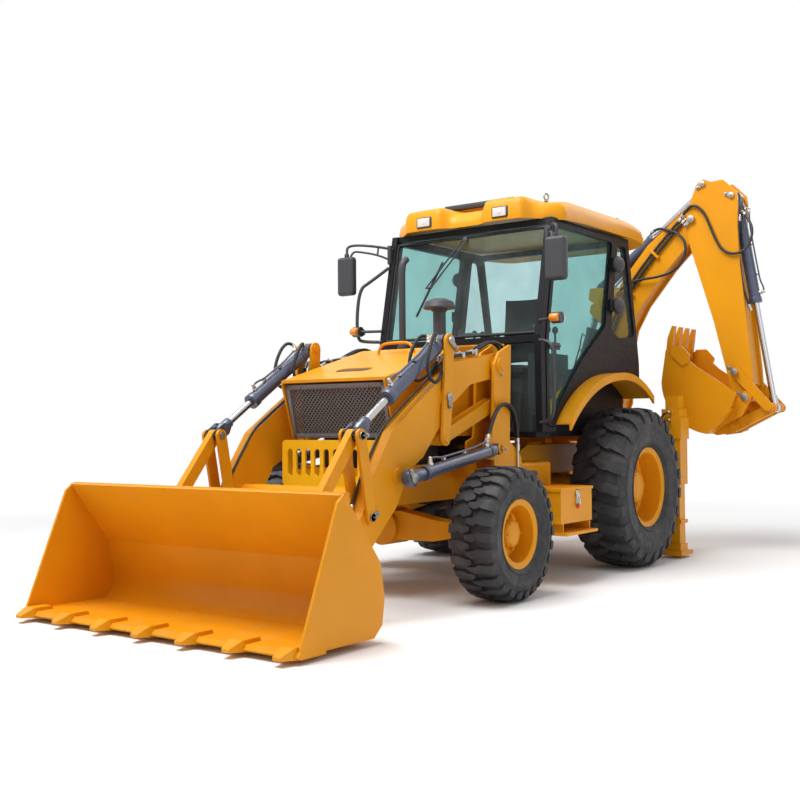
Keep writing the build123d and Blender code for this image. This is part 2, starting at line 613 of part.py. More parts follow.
BUCKET_EDGE = (4347.0, 45.0)
BUCKET_HEEL = (3760.0, 40.0)
BUCKET_KNEE = (3665.0, 250.0)
BUCKET_BACK = (3700.0, 440.0)
BUCKET_BROW = (4000.0, 830.0)


def loader_bucket():
    """Wide bucket: curved sheet, side plates with a stiffened edge, brow, cutting edge, teeth and hinge lugs."""
    w0, w1 = -BUCKET_HALF + 16, BUCKET_HALF - 16
    lip, heel, knee, back, brow = BUCKET_EDGE, BUCKET_HEEL, BUCKET_KNEE, BUCKET_BACK, BUCKET_BROW
    t = 20.0
    bend = (heel[0] - 72, heel[1] + 62)

    def at(point, dx=0.0, dz=0.0):
        return side(point[0] + dx, point[1] + dz, w0)

    outer = [Edge.make_line(at(lip), at(heel)), Edge.make_three_point_arc(at(heel), at(bend), at(knee)),
             Edge.make_line(at(knee), at(back)), Edge.make_line(at(back), at(brow)),
             Edge.make_line(at(brow), at(brow, t * 1.2, -t * 0.4)),
             Edge.make_line(at(brow, t * 1.2, -t * 0.4), at(back, t * 1.1, -t * 0.2)),
             Edge.make_line(at(back, t * 1.1, -t * 0.2), at(knee, t, 0)),
             Edge.make_three_point_arc(at(knee, t, 0), at(bend, t * 0.7, t * 0.7), at(heel, 0, t)),
             Edge.make_line(at(heel, 0, t), at(lip, 0, t)), Edge.make_line(at(lip, 0, t), at(lip))]
    sheet = Solid.extrude(Face(Wire(outer)), Vector(0, w1 - w0, 0))
    cheek_outline = [lip, heel, bend, knee, back, brow, (brow[0] + 55, brow[1] - 45),
                     (lip[0], lip[1] + 30)]
    cheeks = both_sides([plate(side, cheek_outline, BUCKET_HALF - 18, BUCKET_HALF)])
    brow_bar = plate(side, [(brow[0] - 66, brow[1] - 52), (brow[0] - 58, brow[1] + 2), (brow[0], brow[1] + 4),
                            (brow[0] + 4, brow[1] - 8)], w0, w1)
    blade = plate(side, [(lip[0] - 190, lip[1] - 18), (lip[0] - 190, lip[1] + 2), (lip[0], lip[1] + 22),
                         (lip[0] + 22, lip[1] - 4),
                         (lip[0], lip[1] - 18)], -BUCKET_HALF, BUCKET_HALF)
    teeth = []
    for i in range(7):
        y = -BUCKET_HALF + 75 + i * (2 * BUCKET_HALF - 150) / 6
        outline = [(lip[0] - 120, y - 42), (lip[0] + 10, y - 50), (lip[0] + 98, y - 28), (lip[0] + 103, y + 28),
                   (lip[0] + 10, y + 50), (lip[0] - 120, y + 42)]
        wedge = plate(side, [(lip[0] - 125, lip[1] + 10), (lip[0] - 110, lip[1] + 40), (lip[0] + 20, lip[1] + 42),
                             (lip[0] + 106, lip[1] + 2), (lip[0] + 100, lip[1] - 12), (lip[0] - 60, lip[1] - 26)],
                      y - 60, y + 60)
        teeth.append(plate(plan, outline, 0, 120) & wedge)
    lug_outline = [(HINGE_PIN[0] - 40, HINGE_PIN[1] - 20), (HINGE_PIN[0] - 12, HINGE_PIN[1] - 60), (3560, 130),
                   (3700, 150), (3700, 600), (3850, 680), (3700, 790), (LUG_PIN[0] + 10, LUG_PIN[1] + 44),
                   (LUG_PIN[0] - 36, LUG_PIN[1] + 20), (HINGE_PIN[0] - 46, HINGE_PIN[1] + 20)]
    lugs = []
    for y0, y1 in (LUG_INNER_Y, LUG_OUTER_Y):
        body = plate(side, lug_outline, y0, y1, radius=10) - plate(
            side, [back, brow, (5000, 830), (5000, -200), (3700, -200), heel, bend, knee], y0 - 5, y1 + 5)
        lugs.append(body - pin(side, HINGE_PIN, y0 - 5, y1 + 5, 30 + PIN_PLAY))
    lugs.append(pin(side, LUG_PIN, LUG_INNER_Y[0] - 8, LUG_OUTER_Y[1] + 10, 24))
    return [fused(sheet, *cheeks, brow_bar, blade, *teeth, *both_sides(lugs))]


# ---- Backhoe -----------------------------------------------------------------------------------------------
def backhoe_frame():
    """Rear frame: two slide rails between the stabilizer housings, braced to the side rails."""
    across = (85 - STAB_Y, STAB_Y - 85)
    beams = [block((-850, -712), across, (430, 570)), block((-850, -712), across, (1040, 1180)),
             block((-880, -848), across, (405, 595)), block((-880, -848), across, (1015, 1205))]
    webs = both_sides([block((-840, -712), (285, 345), (565, 1045))])
    housing = block((STAB_X - 80, STAB_X + 80), (STAB_Y - 88, STAB_Y + 80), (640, 1300)) - block(
        (STAB_X - 68, STAB_X + 68), (STAB_Y - 68, STAB_Y + 68), (600, 1280))
    collar = block((STAB_X - 92, STAB_X + 92), (STAB_Y - 98, STAB_Y + 92), (1035, 1225)) - block(
        (STAB_X - 72, STAB_X + 72), (STAB_Y - 72, STAB_Y + 72), (1000, 1250))
    head = block((STAB_X - 60, STAB_X + 60), (STAB_Y - 60, STAB_Y + 60), (1298, 1415))
    return [fused(*beams, *webs, *both_sides([housing, collar, head]))]


def stabilizer(hand):
    """Stabilizer leg: square tube in its housing, lower sleeve and foot pad."""
    leg = block((STAB_X - 60, STAB_X + 60), (STAB_Y - 60, STAB_Y + 60), (85, 960))
    sleeve = block((STAB_X - 78, STAB_X + 78), (STAB_Y - 78, STAB_Y + 78), (300, 330))
    foot = block((STAB_X - 130, STAB_X + 130), (STAB_Y - 100, STAB_Y + 100), (24, 60))
    ankle = block((STAB_X - 80, STAB_X + 80), (STAB_Y - 72, STAB_Y + 72), (55, 120))
    shape = fused(leg, sleeve, foot, ankle)
    return [shape if hand > 0 else shape.mirror(Plane.XZ)]


def slide_carriage():
    """Side-shift carriage hooked on the slide rails, with the bosses of the swing post."""
    y0, y1 = SWING_Y - 300, SWING_Y + 300
    back = block((-935, -887), (y0, y1), (370, 1240))
    hooks = [block((-887, -838), (y0, y1), (1212, 1240)), block((-887, -838), (y0, y1), (370, 398))]
    arms = []
    for z0, z1 in ((560, 640), (960, 1040)):
        outline = [(-930, SWING_Y - 230), (-930, SWING_Y + 230), (HOE_X + 30, SWING_Y + 118),
                   (HOE_X - 118, SWING_Y + 60),
                   (HOE_X - 118, SWING_Y - 60), (HOE_X + 30, SWING_Y - 118)]
        king_bore = bar((HOE_X, SWING_Y, z0 - 5), (HOE_X, SWING_Y, z1 + 5), 45.5)
        arms.append(plate(plan, outline, z0, z1, radius=20) - king_bore)
    return [fused(back, *hooks, *arms)]


def swing_post():
    """Swing post: kingpost turning in the carriage, with twin cheeks for the boom foot and the boom ram."""
    post = bar((HOE_X, SWING_Y, 530), (HOE_X, SWING_Y, 1070), 45)
    core = [bar((HOE_X, SWING_Y, 648), (HOE_X, SWING_Y, 952), 92),
            bar((HOE_X, SWING_Y, 1048), (HOE_X, SWING_Y, 1120), 92)]
    base = block((HOE_X - 150, HOE_X + 150), (SWING_Y - 90, SWING_Y + 120), (1052, 1112))
    cheek = [(SWING_Y - 100, 1060), (SWING_Y + 178, 1056), (-150, 890), (-60, 860), (10, 920), (14, 1010),
             (-50, 1060),
             (-270, 1150), (-372, 1290), (-470, 1300), (-510, 1250)]
    cheeks = []
    for w0, w1 in ((HOE_X - 155, HOE_X - 125), (HOE_X + 125, HOE_X + 155)):
        cheeks.append(plate(cross, cheek, w0, w1, radius=12))
    pins = [pin(cross, BOOM_FOOT, HOE_X - 165, HOE_X + 165, 38),
            pin(cross, BOOM_RAM_BASE, HOE_X - 165, HOE_X + 165, 30)]
    return [fused(post, *core, base, *cheeks, *pins)]


BOOM_OUTLINE = [(-180, 930), (-160, 1300), (-80, 1700), (25, 2140), (238, 2560), (500, 2870), (850, 3140),
                (960, 3165), (1050, 3090), (1040, 2975), (695, 2625), (430, 2300), (305, 2075), (242, 1777),
                (232, 1375), (60, 950),
                (-20, 880), (-120, 870)]


def boom():
    """Curved boom: side plates round a boxed core that stops short of both ends, with ears for its rams."""
    half = [(85, 110)]
    plates = []
    for a, b in half:
        for w0, w1 in ((HOE_X - b, HOE_X - a), (HOE_X + a, HOE_X + b)):
            plates.append(plate(cross, BOOM_OUTLINE, w0, w1, radius=30))
    core = [(-25, 1450), (10, 1700), (110, 2120), (290, 2520), (540, 2820), (800, 3040), (1000, 3120), (1010, 2990),
            (675, 2650), (410, 2310), (285, 2085), (222, 1780), (212, 1400), (165, 1240)]
    body = fused(*plates, plate(cross, core, HOE_X - 86, HOE_X + 86))
    ram_ears = [plate(cross, outline, w0, w1, radius=18)
                for outline in ([(-140, 2400), (-125, 2510), (-60, 2510), (190, 2500), (60, 2260)],
                                [(-130, 2270), (-115, 2350), (60, 2390), (110, 2200), (-20, 2160)])
                for w0, w1 in ((HOE_X - 88, HOE_X - 60), (HOE_X + 60, HOE_X + 88))]
    body = fused(body, *ram_ears, pin(cross, DIPPER_RAM_BASE, HOE_X - 90, HOE_X + 90, 28))
    body = body - pin(cross, BOOM_FOOT, HOE_X - 200, HOE_X + 200, 38 + PIN_PLAY)
    return [body - pin(cross, ELBOW, HOE_X - 200, HOE_X + 200, 36 + PIN_PLAY)]


DIPPER_OUTLINE = [(1000, 3375), (1065, 3420), (1140, 3385), (1250, 3392), (1375, 3265), (1385, 3190), (1378, 2950),
                  (1395, 2600), (1492, 1690), (1510, 1410), (1455, 1345), (1385, 1370), (1292, 1510), (1145, 2110),
                  (935, 2800), (895, 3010), (905, 3125)]


def dipper():
    """Dipper: side plates that take the boom nose and both rams between them, boxed below."""
    plates = [plate(cross, DIPPER_OUTLINE, w0, w1, radius=25)
              for w0, w1 in ((HOE_X - 145, HOE_X - 120), (HOE_X + 120, HOE_X + 145))]
    core = [(1100, 2860), (1325, 2840), (1368, 2600), (1465, 1690), (1480, 1520), (1410, 1470), (1318, 1520),
            (1175, 2110), (990, 2760)]
    body = fused(*plates, plate(cross, core, HOE_X - 121, HOE_X + 121),
                 *[pin(cross, at, HOE_X - 155, HOE_X + 155, r) for at, r in
                   [(ELBOW, 36), (BUCKET_RAM_BASE, 28)]],
                 pin(cross, DIPPER_TAIL, HOE_X - 155, HOE_X - 60, 28),
                 pin(cross, DIPPER_TAIL, HOE_X + 60, HOE_X + 155, 28))
    body = body - pin(cross, TIPPING_PIN, HOE_X - 200, HOE_X + 200, 28 + PIN_PLAY)
    return [body - pin(cross, BUCKET_PIN, HOE_X - 200, HOE_X + 200, 34 + PIN_PLAY)]


def hoe_ram(base, tip, length, radius, rod, start, base_pin):
    """Barrel and rod of one backhoe ram, lying in the backhoe's plane."""
    return (barrel(cross, base, tip, HOE_X - 38, HOE_X + 38, radius, rod + 2, length, base_pin),
            piston_rod(cross, base, tip, HOE_X - 38, HOE_X + 38, rod, start, 42))


BOOM_RAM = hoe_ram(BOOM_RAM_BASE, BOOM_RAM_TIP, 930, 55, 32, 130, 30)
DIPPER_RAM = hoe_ram(DIPPER_RAM_BASE, DIPPER_TAIL, 800, 55, 32, 700, 28)
BUCKET_RAM = hoe_ram(BUCKET_RAM_BASE, OUTER_PIN, 990, 50, 28, 890, 28)


def tipping_links():
    """Twin links from the dipper to the bucket ram's rod, on one through pin at the dipper."""
    plates = []
    for w0, w1 in ((HOE_X - 178, HOE_X - 156), (HOE_X + 156, HOE_X + 178)):
        plates.append(link(cross, TIPPING_PIN, OUTER_PIN, 46, 42, w0, w1))
    stubs = [pin(cross, OUTER_PIN, HOE_X + s * 62, HOE_X + s * 188, 28) for s in (-1, 1)]
    return [fused(*plates, *stubs, pin(cross, TIPPING_PIN, HOE_X - 188, HOE_X + 188, 28))]


def bucket_link():
    """Power link from the tipping links to the digging bucket."""
    halves = [link(cross, OUTER_PIN, EAR_PIN, 44, 46, w0, w1)
              for w0, w1 in ((HOE_X - 105, HOE_X - 62), (HOE_X + 62, HOE_X + 105))]
    middle = ((OUTER_PIN[0] + EAR_PIN[0]) / 2 - 40, (OUTER_PIN[1] + EAR_PIN[1]) / 2 - 16)
    body = fused(*halves, pin(cross, middle, HOE_X - 64, HOE_X + 64, 34))
    return [body - pin(cross, OUTER_PIN, HOE_X - 200, HOE_X + 200, 28 + PIN_PLAY)]


def digging_bucket():
    """Digging bucket: curled sheet, side plates, teeth and ears for the dipper and the power link."""
    w0, w1 = HOE_X - HOE_BUCKET_HALF, HOE_X + HOE_BUCKET_HALF
    lip, back, bend, low, heel = (745, 1850), (700, 1560), (835, 1225), (1130, 1075), (1262, 1200)
    top, chin, mouth, brow = (1345, 1300), (1400, 1440), (1030, 1690), (845, 1870)
    t = 18.0

    def at(point, dy=0.0, dz=0.0):
        return cross(point[0] + dy, point[1] + dz, w0 + 8)

    shell = [Edge.make_line(at(lip), at(back)), Edge.make_three_point_arc(at(back), at(bend), at(low)),
             Edge.make_line(at(low), at(heel)), Edge.make_line(at(heel), at(top))]
    lining = [Edge.make_line(at(top), at(top, -14, 12)), Edge.make_line(at(top, -14, 12), at(heel, -12, 14)),
              Edge.make_line(at(heel, -12, 14), at(low, -6, t * 1.3)),
              Edge.make_three_point_arc(at(low, -6, t * 1.3), at(bend, 14, 13), at(back, t)),
              Edge.make_line(at(back, t), at(lip, t)), Edge.make_line(at(lip, t), at(lip))]
    sheet = Solid.extrude(Face(Wire(shell + lining)), Vector(2 * HOE_BUCKET_HALF - 16, 0, 0))
    edge = [Edge.make_line(at(a), at(b)) for a, b in ((top, chin), (chin, mouth), (mouth, brow), (brow, lip))]
    cheek = Solid.extrude(Face(Wire(shell + edge)), Vector(18, 0, 0))
    cheeks = [cheek.translate(Vector(-8, 0, 0)), cheek.translate(Vector(2 * HOE_BUCKET_HALF - 26, 0, 0))]
    cutter = [(790, 1880), (905, 1880), (985, 1790), (960, 1720), (900, 1700), (800, 1800)]
    cheeks += [plate(cross, cutter, x0, x0 + 16, radius=20) for x0 in (w0 - 14, w1 - 2)]
    teeth = []
    for i in range(4):
        x = w0 + 60 + i * (2 * HOE_BUCKET_HALF - 120) / 3
        teeth.append(plate(cross, [(732, 1780), (780, 1780), (806, 1960), (818, 2072), (798, 2075), (752, 1960)],
                           x - 32, x + 32))
    ears = []
    for s in (-1, 1):
        ears.append(plate(cross, [(1330, 1290), (BUCKET_PIN[0] - 56, 1420), (BUCKET_PIN[0], 1462),
                                  (BUCKET_PIN[0] + 60, 1410), (1420, 1240), (1240, 1150), (1135, 1085)],
                          HOE_X + s * 184, HOE_X + s * 208, radius=5))
        ears.append(plate(cross, [(1110, 1080), (1250, 1205), (1350, 1180), (1360, 1105), (1290, 1080),
                                  (1160, 1062)],
                          HOE_X + s * 112, HOE_X + s * 134, radius=5))
        ears.append(pin(cross, EAR_PIN, HOE_X + s * 110, HOE_X + s * 150, 30))
    pins = [pin(cross, BUCKET_PIN, HOE_X - 216, HOE_X + 216, 34)]
    return [fused(sheet, *cheeks, *teeth, *ears, *pins)]


def tow_eye():
    """Lifting and tie-down eye at the front of each side rail."""
    eye = link(side, (2660, 700), (2742, 700), 40, 34, 334, 352) - pin(side, (2742, 700), 330, 356, 17)
    return [eye]


# ---- Sub-parts ---------------------------------------------------------------------------------------------
NODES = {
    "chassis_frame": chassis_frame, "powertrain": powertrain, "axles": axles,
    "front_guard": front_guard, "grille": grille, "hood": hood, "air_cleaner": air_cleaner,
    "side_tanks": side_tanks, "rear_fenders": rear_fenders, "tow_eye": tow_eye,
    "cab_frame": cab_frame, "cab_roof": cab_roof, "cab_windows": cab_windows, "operator_seat": operator_seat,
    "cab_controls": cab_controls, "mirrors": mirrors,
    "loader_arms": loader_arms, "lift_barrels": lift_barrels, "lift_rods": lift_rods, "tilt_levers": tilt_levers,
    "level_links": level_links, "lever_pins": lever_pins, "tilt_barrels": tilt_barrels, "tilt_rods": tilt_rods,
    "nose_pins": nose_pins, "rod_pins": rod_pins, "hinge_pins": hinge_pins, "tilt_links": tilt_links,
    "bucket_links": bucket_links,
    "loader_bucket": loader_bucket,
    "backhoe_frame": backhoe_frame, "slide_carriage": slide_carriage, "swing_post": swing_post, "boom": boom,
    "dipper": dipper, "tipping_links": tipping_links, "bucket_link": bucket_link, "digging_bucket": digging_bucket,
    "boom_barrel": lambda: [BOOM_RAM[0]], "boom_rod": lambda: [BOOM_RAM[1]],
    "dipper_barrel": lambda: [DIPPER_RAM[0]], "dipper_rod": lambda: [DIPPER_RAM[1]],
    "bucket_barrel": lambda: [BUCKET_RAM[0]], "bucket_rod": lambda: [BUCKET_RAM[1]],
}
for name, hand in (("left", 1), ("right", -1)):
    NODES[f"{name}_front_tyre"] = lambda hand=hand: [tyre(FRONT_WHEEL, hand)]
    NODES[f"{name}_front_rim"] = lambda hand=hand: [rim(FRONT_WHEEL, hand)]
    NODES[f"{name}_rear_tyre"] = lambda hand=hand: [tyre(REAR_WHEEL, hand)]
    NODES[f"{name}_rear_rim"] = lambda hand=hand: [rim(REAR_WHEEL, hand)]
    NODES[f"{name}_knuckle"] = lambda hand=hand: [knuckle(hand)]
    NODES[f"{name}_door"] = lambda hand=hand: [door(hand)]
    NODES[f"{name}_door_glass"] = lambda hand=hand: [door_glass(hand)]
    NODES[f"{name}_stabilizer"] = lambda hand=hand: stabilizer(hand)


def main():
    """Build every sub-part and write its STEP file."""
    os.makedirs("parts", exist_ok=True)
    for node, build in NODES.items():
        solids = [s.translate(SHIFT) for shape in build() for s in shape.solids()]
        export_step(Compound(children=solids), f"parts/{node}.step")
        print(node, len(solids))


if __name__ == "__main__":
    main()
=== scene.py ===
"""Looks of a backhoe loader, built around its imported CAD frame.

Every length is in metres. Machine points are (x, y, z) with x forward from the rear axle, y to the
machine's left from its centre plane and z up from the ground; the Machine class turns them into the
frame's own coordinates.
"""
import json
import logging
import math
from dataclasses import dataclass
from enum import Enum
from typing import Iterable, Optional, Sequence

import bmesh
import bpy
from mathutils import Matrix, Vector

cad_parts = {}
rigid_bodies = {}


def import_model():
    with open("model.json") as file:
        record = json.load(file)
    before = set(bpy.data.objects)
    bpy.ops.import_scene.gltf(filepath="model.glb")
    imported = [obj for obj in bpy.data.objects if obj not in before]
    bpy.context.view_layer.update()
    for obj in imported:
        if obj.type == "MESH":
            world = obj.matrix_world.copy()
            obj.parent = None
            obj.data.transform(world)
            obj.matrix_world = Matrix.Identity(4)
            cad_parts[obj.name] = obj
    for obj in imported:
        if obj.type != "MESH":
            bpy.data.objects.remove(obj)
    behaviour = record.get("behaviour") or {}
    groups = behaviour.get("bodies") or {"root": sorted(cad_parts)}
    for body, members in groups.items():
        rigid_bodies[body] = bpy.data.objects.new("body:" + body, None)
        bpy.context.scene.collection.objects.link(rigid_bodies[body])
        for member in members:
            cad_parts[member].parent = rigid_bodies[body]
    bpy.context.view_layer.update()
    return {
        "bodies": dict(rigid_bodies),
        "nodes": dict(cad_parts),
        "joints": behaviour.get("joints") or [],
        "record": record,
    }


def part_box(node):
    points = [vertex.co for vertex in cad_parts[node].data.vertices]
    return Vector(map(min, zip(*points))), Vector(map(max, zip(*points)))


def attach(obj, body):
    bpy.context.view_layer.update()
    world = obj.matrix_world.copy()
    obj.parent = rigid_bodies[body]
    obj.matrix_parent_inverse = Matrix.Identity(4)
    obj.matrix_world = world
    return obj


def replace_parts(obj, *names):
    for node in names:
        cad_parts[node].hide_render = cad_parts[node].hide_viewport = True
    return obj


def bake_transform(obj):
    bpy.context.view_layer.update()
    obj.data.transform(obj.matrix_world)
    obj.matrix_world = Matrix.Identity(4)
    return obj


LOG = logging.getLogger("backhoe_loader")
Point = Sequence[float]
Colour = tuple[float, float, float]
SMOOTH_ANGLE = math.radians(38)
HANDS = {"left": 1, "right": -1}


class View(Enum):
    """The plane that an outline is drawn in, as the axes of its u, v and depth."""

    SIDE = (0, 2, 1)
    CROSS = (1, 2, 0)

    def point(self, u: float, v: float, depth: float) -> Vector:
        """Point of this view in machine axes."""
        place = [0.0, 0.0, 0.0]
        for axis, value in zip(self.value, (u, v, depth)):
            place[axis] = value
        return Vector(place)


# ---- Finishes ----------------------------------------------------------------------------------------------
class Graph:
    """Short calls that build one material's nodes."""

    def __init__(self, name: str) -> None:
        """Start an empty material with a principled shader."""
        self.material = bpy.data.materials.new(name)
        self.material.use_nodes = True
        self.tree = self.material.node_tree
        self.tree.nodes.clear()
        self.shader = self.add("ShaderNodeBsdfPrincipled")
        self.output = self.add("ShaderNodeOutputMaterial")
        self.join(self.shader.outputs["BSDF"], self.output.inputs["Surface"])
        self.object = self.add("ShaderNodeTexCoord").outputs["Object"]

    def add(self, kind: str, **settings: object) -> bpy.types.Node:
        """Add a node and set its properties."""
        node = self.tree.nodes.new(kind)
        for key, value in settings.items():
            setattr(node, key, value)
        return node

    def join(self, source: bpy.types.NodeSocket, target: bpy.types.NodeSocket) -> None:
        """Link two sockets."""
        self.tree.links.new(source, target)

    def set(self, **values: object) -> None:
        """Set the shader's own sockets, named with underscores for spaces."""
        for key, value in values.items():
            self.shader.inputs[key.replace("_", " ")].default_value = value

    def noise(self, scale: float, detail: float = 3.0, stretch: Point = (1, 1, 1)) -> bpy.types.NodeSocket:
        """Noise on the object's coordinates.

        Args:
            scale: features per metre.
            detail: octaves.
            stretch: scale of each axis.

        Returns:
            The factor socket.
        """
        place = self.add("ShaderNodeMapping")
        place.inputs["Scale"].default_value = stretch
        self.join(self.object, place.inputs["Vector"])
        node = self.add("ShaderNodeTexNoise")
        node.inputs["Scale"].default_value = scale
        node.inputs["Detail"].default_value = detail
        self.join(place.outputs["Vector"], node.inputs["Vector"])
        return node.outputs["Fac"]

    def spread(self, source: bpy.types.NodeSocket, low: float, high: float, to_low: float,
               to_high: float) -> bpy.types.NodeSocket:
        """Map a range of values onto another, clamped."""
        node = self.add("ShaderNodeMapRange")
        for key, value in (("From Min", low), ("From Max", high), ("To Min", to_low), ("To Max", to_high)):
            node.inputs[key].default_value = value
        self.join(source, node.inputs["Value"])
        return node.outputs["Result"]

    def blend(self, factor: bpy.types.NodeSocket, low: object, high: object) -> bpy.types.NodeSocket:
        """Mix two colours or colour sockets by a factor."""
        node = self.add("ShaderNodeMix", data_type="RGBA")
        self.join(factor, node.inputs[0])
        for socket, value in ((node.inputs[6], low), (node.inputs[7], high)):
            if isinstance(value, bpy.types.NodeSocket):
                self.join(value, socket)
            else:
                socket.default_value = (*value, 1.0)
        return node.outputs[2]

    def multiply(self, first: bpy.types.NodeSocket, second: bpy.types.NodeSocket) -> bpy.types.NodeSocket:
        """Product of two factors."""
        node = self.add("ShaderNodeMath", operation="MULTIPLY")
        self.join(first, node.inputs[0])
        self.join(second, node.inputs[1])
        return node.outputs[0]

    def rounded(self, radius: float) -> bpy.types.NodeSocket:
        """Normal that shows edges as if rounded."""
        node = self.add("ShaderNodeBevel", samples=4)
        node.inputs["Radius"].default_value = radius
        return node.outputs["Normal"]

    def bump(self, height: bpy.types.NodeSocket, depth: float,
             under: Optional[bpy.types.NodeSocket] = None) -> None:
        """Raise the surface by a height of up to depth metres, on top of an optional normal."""
        node = self.add("ShaderNodeBump")
        node.inputs["Distance"].default_value = depth
        node.inputs["Strength"].default_value = 1.0
        self.join(height, node.inputs["Height"])
        if under is not None:
            self.join(under, node.inputs["Normal"])
        self.join(node.outputs["Normal"], self.shader.inputs["Normal"])

    def colour(self, source: bpy.types.NodeSocket) -> None:
        """Feed the base colour."""
        self.join(source, self.shader.inputs["Base Color"])

    def roughness(self, source: bpy.types.NodeSocket) -> None:
        """Feed the roughness."""
        self.join(source, self.shader.inputs["Roughness"])


def scaled(colour: Colour, factor: float) -> Colour:
    """A colour made lighter or darker."""
    return tuple(min(1.0, part * factor) for part in colour)


@dataclass(frozen=True)
class Paint:
    """Gloss machine paint with slight orange peel, cloudy variation and dust on what lies flat."""

    name: str
    colour: Colour
    rough: float = 0.36
    coat: float = 0.06
    edge: float = 0.0035
    dust: float = 0.12
    gloss: float = 0.2
    dust_colour: Colour = (0.50, 0.36, 0.17)

    def material(self) -> bpy.types.Material:
        """Build the paint's nodes."""
        g = Graph(self.name)
        cloud = g.spread(g.noise(1.7, 4), 0.35, 0.65, 0.0, 1.0)
        tone = g.blend(cloud, scaled(self.colour, 0.94), scaled(self.colour, 1.05))
        grime = g.spread(g.noise(9, 6), 0.52, 0.75, 0.0, self.dust)
        flat = g.add("ShaderNodeSeparateXYZ")
        g.join(g.add("ShaderNodeNewGeometry").outputs["Normal"], flat.inputs[0])
        upward = g.spread(flat.outputs["Z"], 0.3, 1.0, 0.25, 1.0)
        dusty = g.multiply(grime, upward)
        g.colour(g.blend(dusty, tone, self.dust_colour))
        g.roughness(g.spread(g.noise(30, 3), 0.3, 0.7, self.rough - 0.05, self.rough + 0.09))
        g.bump(g.noise(240, 2), 0.00025, g.rounded(self.edge))
        g.set(Coat_Weight=self.coat, Coat_Roughness=0.15, Specular_IOR_Level=self.gloss)
        return g.material


@dataclass(frozen=True)
class Metal:
    """Bare or plated metal, with fine streaks along one axis."""

    name: str
    colour: Colour
    rough: float = 0.2
    spots: float = 0.1
    edge: float = 0.0015
    stretch: tuple[float, float, float] = (1, 1, 1)

    def material(self) -> bpy.types.Material:
        """Build the metal's nodes."""
        g = Graph(self.name)
        streak = g.noise(60, 4, self.stretch)
        g.colour(g.blend(g.spread(g.noise(7, 5), 0.45, 0.8, 0.0, self.spots * 4), self.colour,
                         scaled(self.colour, 0.45)))
        g.roughness(g.spread(streak, 0.3, 0.7, max(0.03, self.rough - 0.06), self.rough + 0.1))
        g.bump(streak, 0.0001, g.rounded(self.edge))
        g.set(Metallic=1.0)
        return g.material


@dataclass(frozen=True)
class Rubber:
    """Rubber with pale scuffs and a fine grain."""

    name: str
    colour: Colour = (0.018, 0.018, 0.021)
    scuff: Colour = (0.075, 0.07, 0.066)
    rough: float = 0.62
    grain: float = 0.0006
    scuffing: float = 0.6

    def material(self) -> bpy.types.Material:
        """Build the rubber's nodes."""
        g = Graph(self.name)
        patches = g.spread(g.noise(6, 7), 0.48, 0.72, 0.0, self.scuffing)
        g.colour(g.blend(patches, self.colour, self.scuff))
        g.roughness(g.spread(g.noise(25, 4), 0.3, 0.7, self.rough - 0.1, self.rough + 0.14))
        g.bump(g.noise(130, 4), self.grain)
        g.set(Specular_IOR_Level=0.45)
        return g.material


@dataclass(frozen=True)
class Plastic:
    """Moulded plastic with a fine leather-like grain."""

    name: str
    colour: Colour
    rough: float = 0.5
    grain: float = 0.0003

    def material(self) -> bpy.types.Material:
        """Build the plastic's nodes."""
        g = Graph(self.name)
        g.colour(g.blend(g.noise(4, 4), scaled(self.colour, 0.85), scaled(self.colour, 1.15)))
        g.roughness(g.spread(g.noise(50, 3), 0.3, 0.7, self.rough - 0.06, self.rough + 0.08))
        cells = g.add("ShaderNodeTexVoronoi")
        cells.inputs["Scale"].default_value = 420
        g.join(g.object, cells.inputs["Vector"])
        g.bump(cells.outputs["Distance"], self.grain, g.rounded(0.002))
        return g.material


@dataclass(frozen=True)
class Glass:
    """Tinted or clear thin glass that lets the view through."""

    name: str
    tint: Colour
    clear: float
    rough: float = 0.02
    index: float = 1.45

    def material(self) -> bpy.types.Material:
        """Build the glass as a gloss over a tinted clear layer, thin enough to need no refraction."""
        g = Graph(self.name)
        through = g.add("ShaderNodeBsdfTransparent")
        through.inputs["Color"].default_value = (*self.tint, 1.0)
        g.set(Base_Color=(*scaled(self.tint, 0.25), 1.0), Roughness=self.rough, Specular_IOR_Level=0.6)
        facing = g.add("ShaderNodeFresnel")
        behind = g.add("ShaderNodeNewGeometry").outputs["Backfacing"]
        g.join(g.spread(behind, 0.0, 1.0, self.index, 1.0 / self.index), facing.inputs["IOR"])
        film = g.noise(3, 5)
        amount = g.add("ShaderNodeMath", operation="ADD")
        g.join(facing.outputs["Fac"], amount.inputs[0])
        g.join(g.spread(film, 0.4, 0.75, 1.0 - self.clear, 1.08 - self.clear), amount.inputs[1])
        mix = g.add("ShaderNodeMixShader")
        g.join(amount.outputs[0], mix.inputs[0])
        g.join(through.outputs[0], mix.inputs[1])
        g.join(g.shader.outputs[0], mix.inputs[2])
        g.join(mix.outputs[0], g.output.inputs["Surface"])
        return g.material


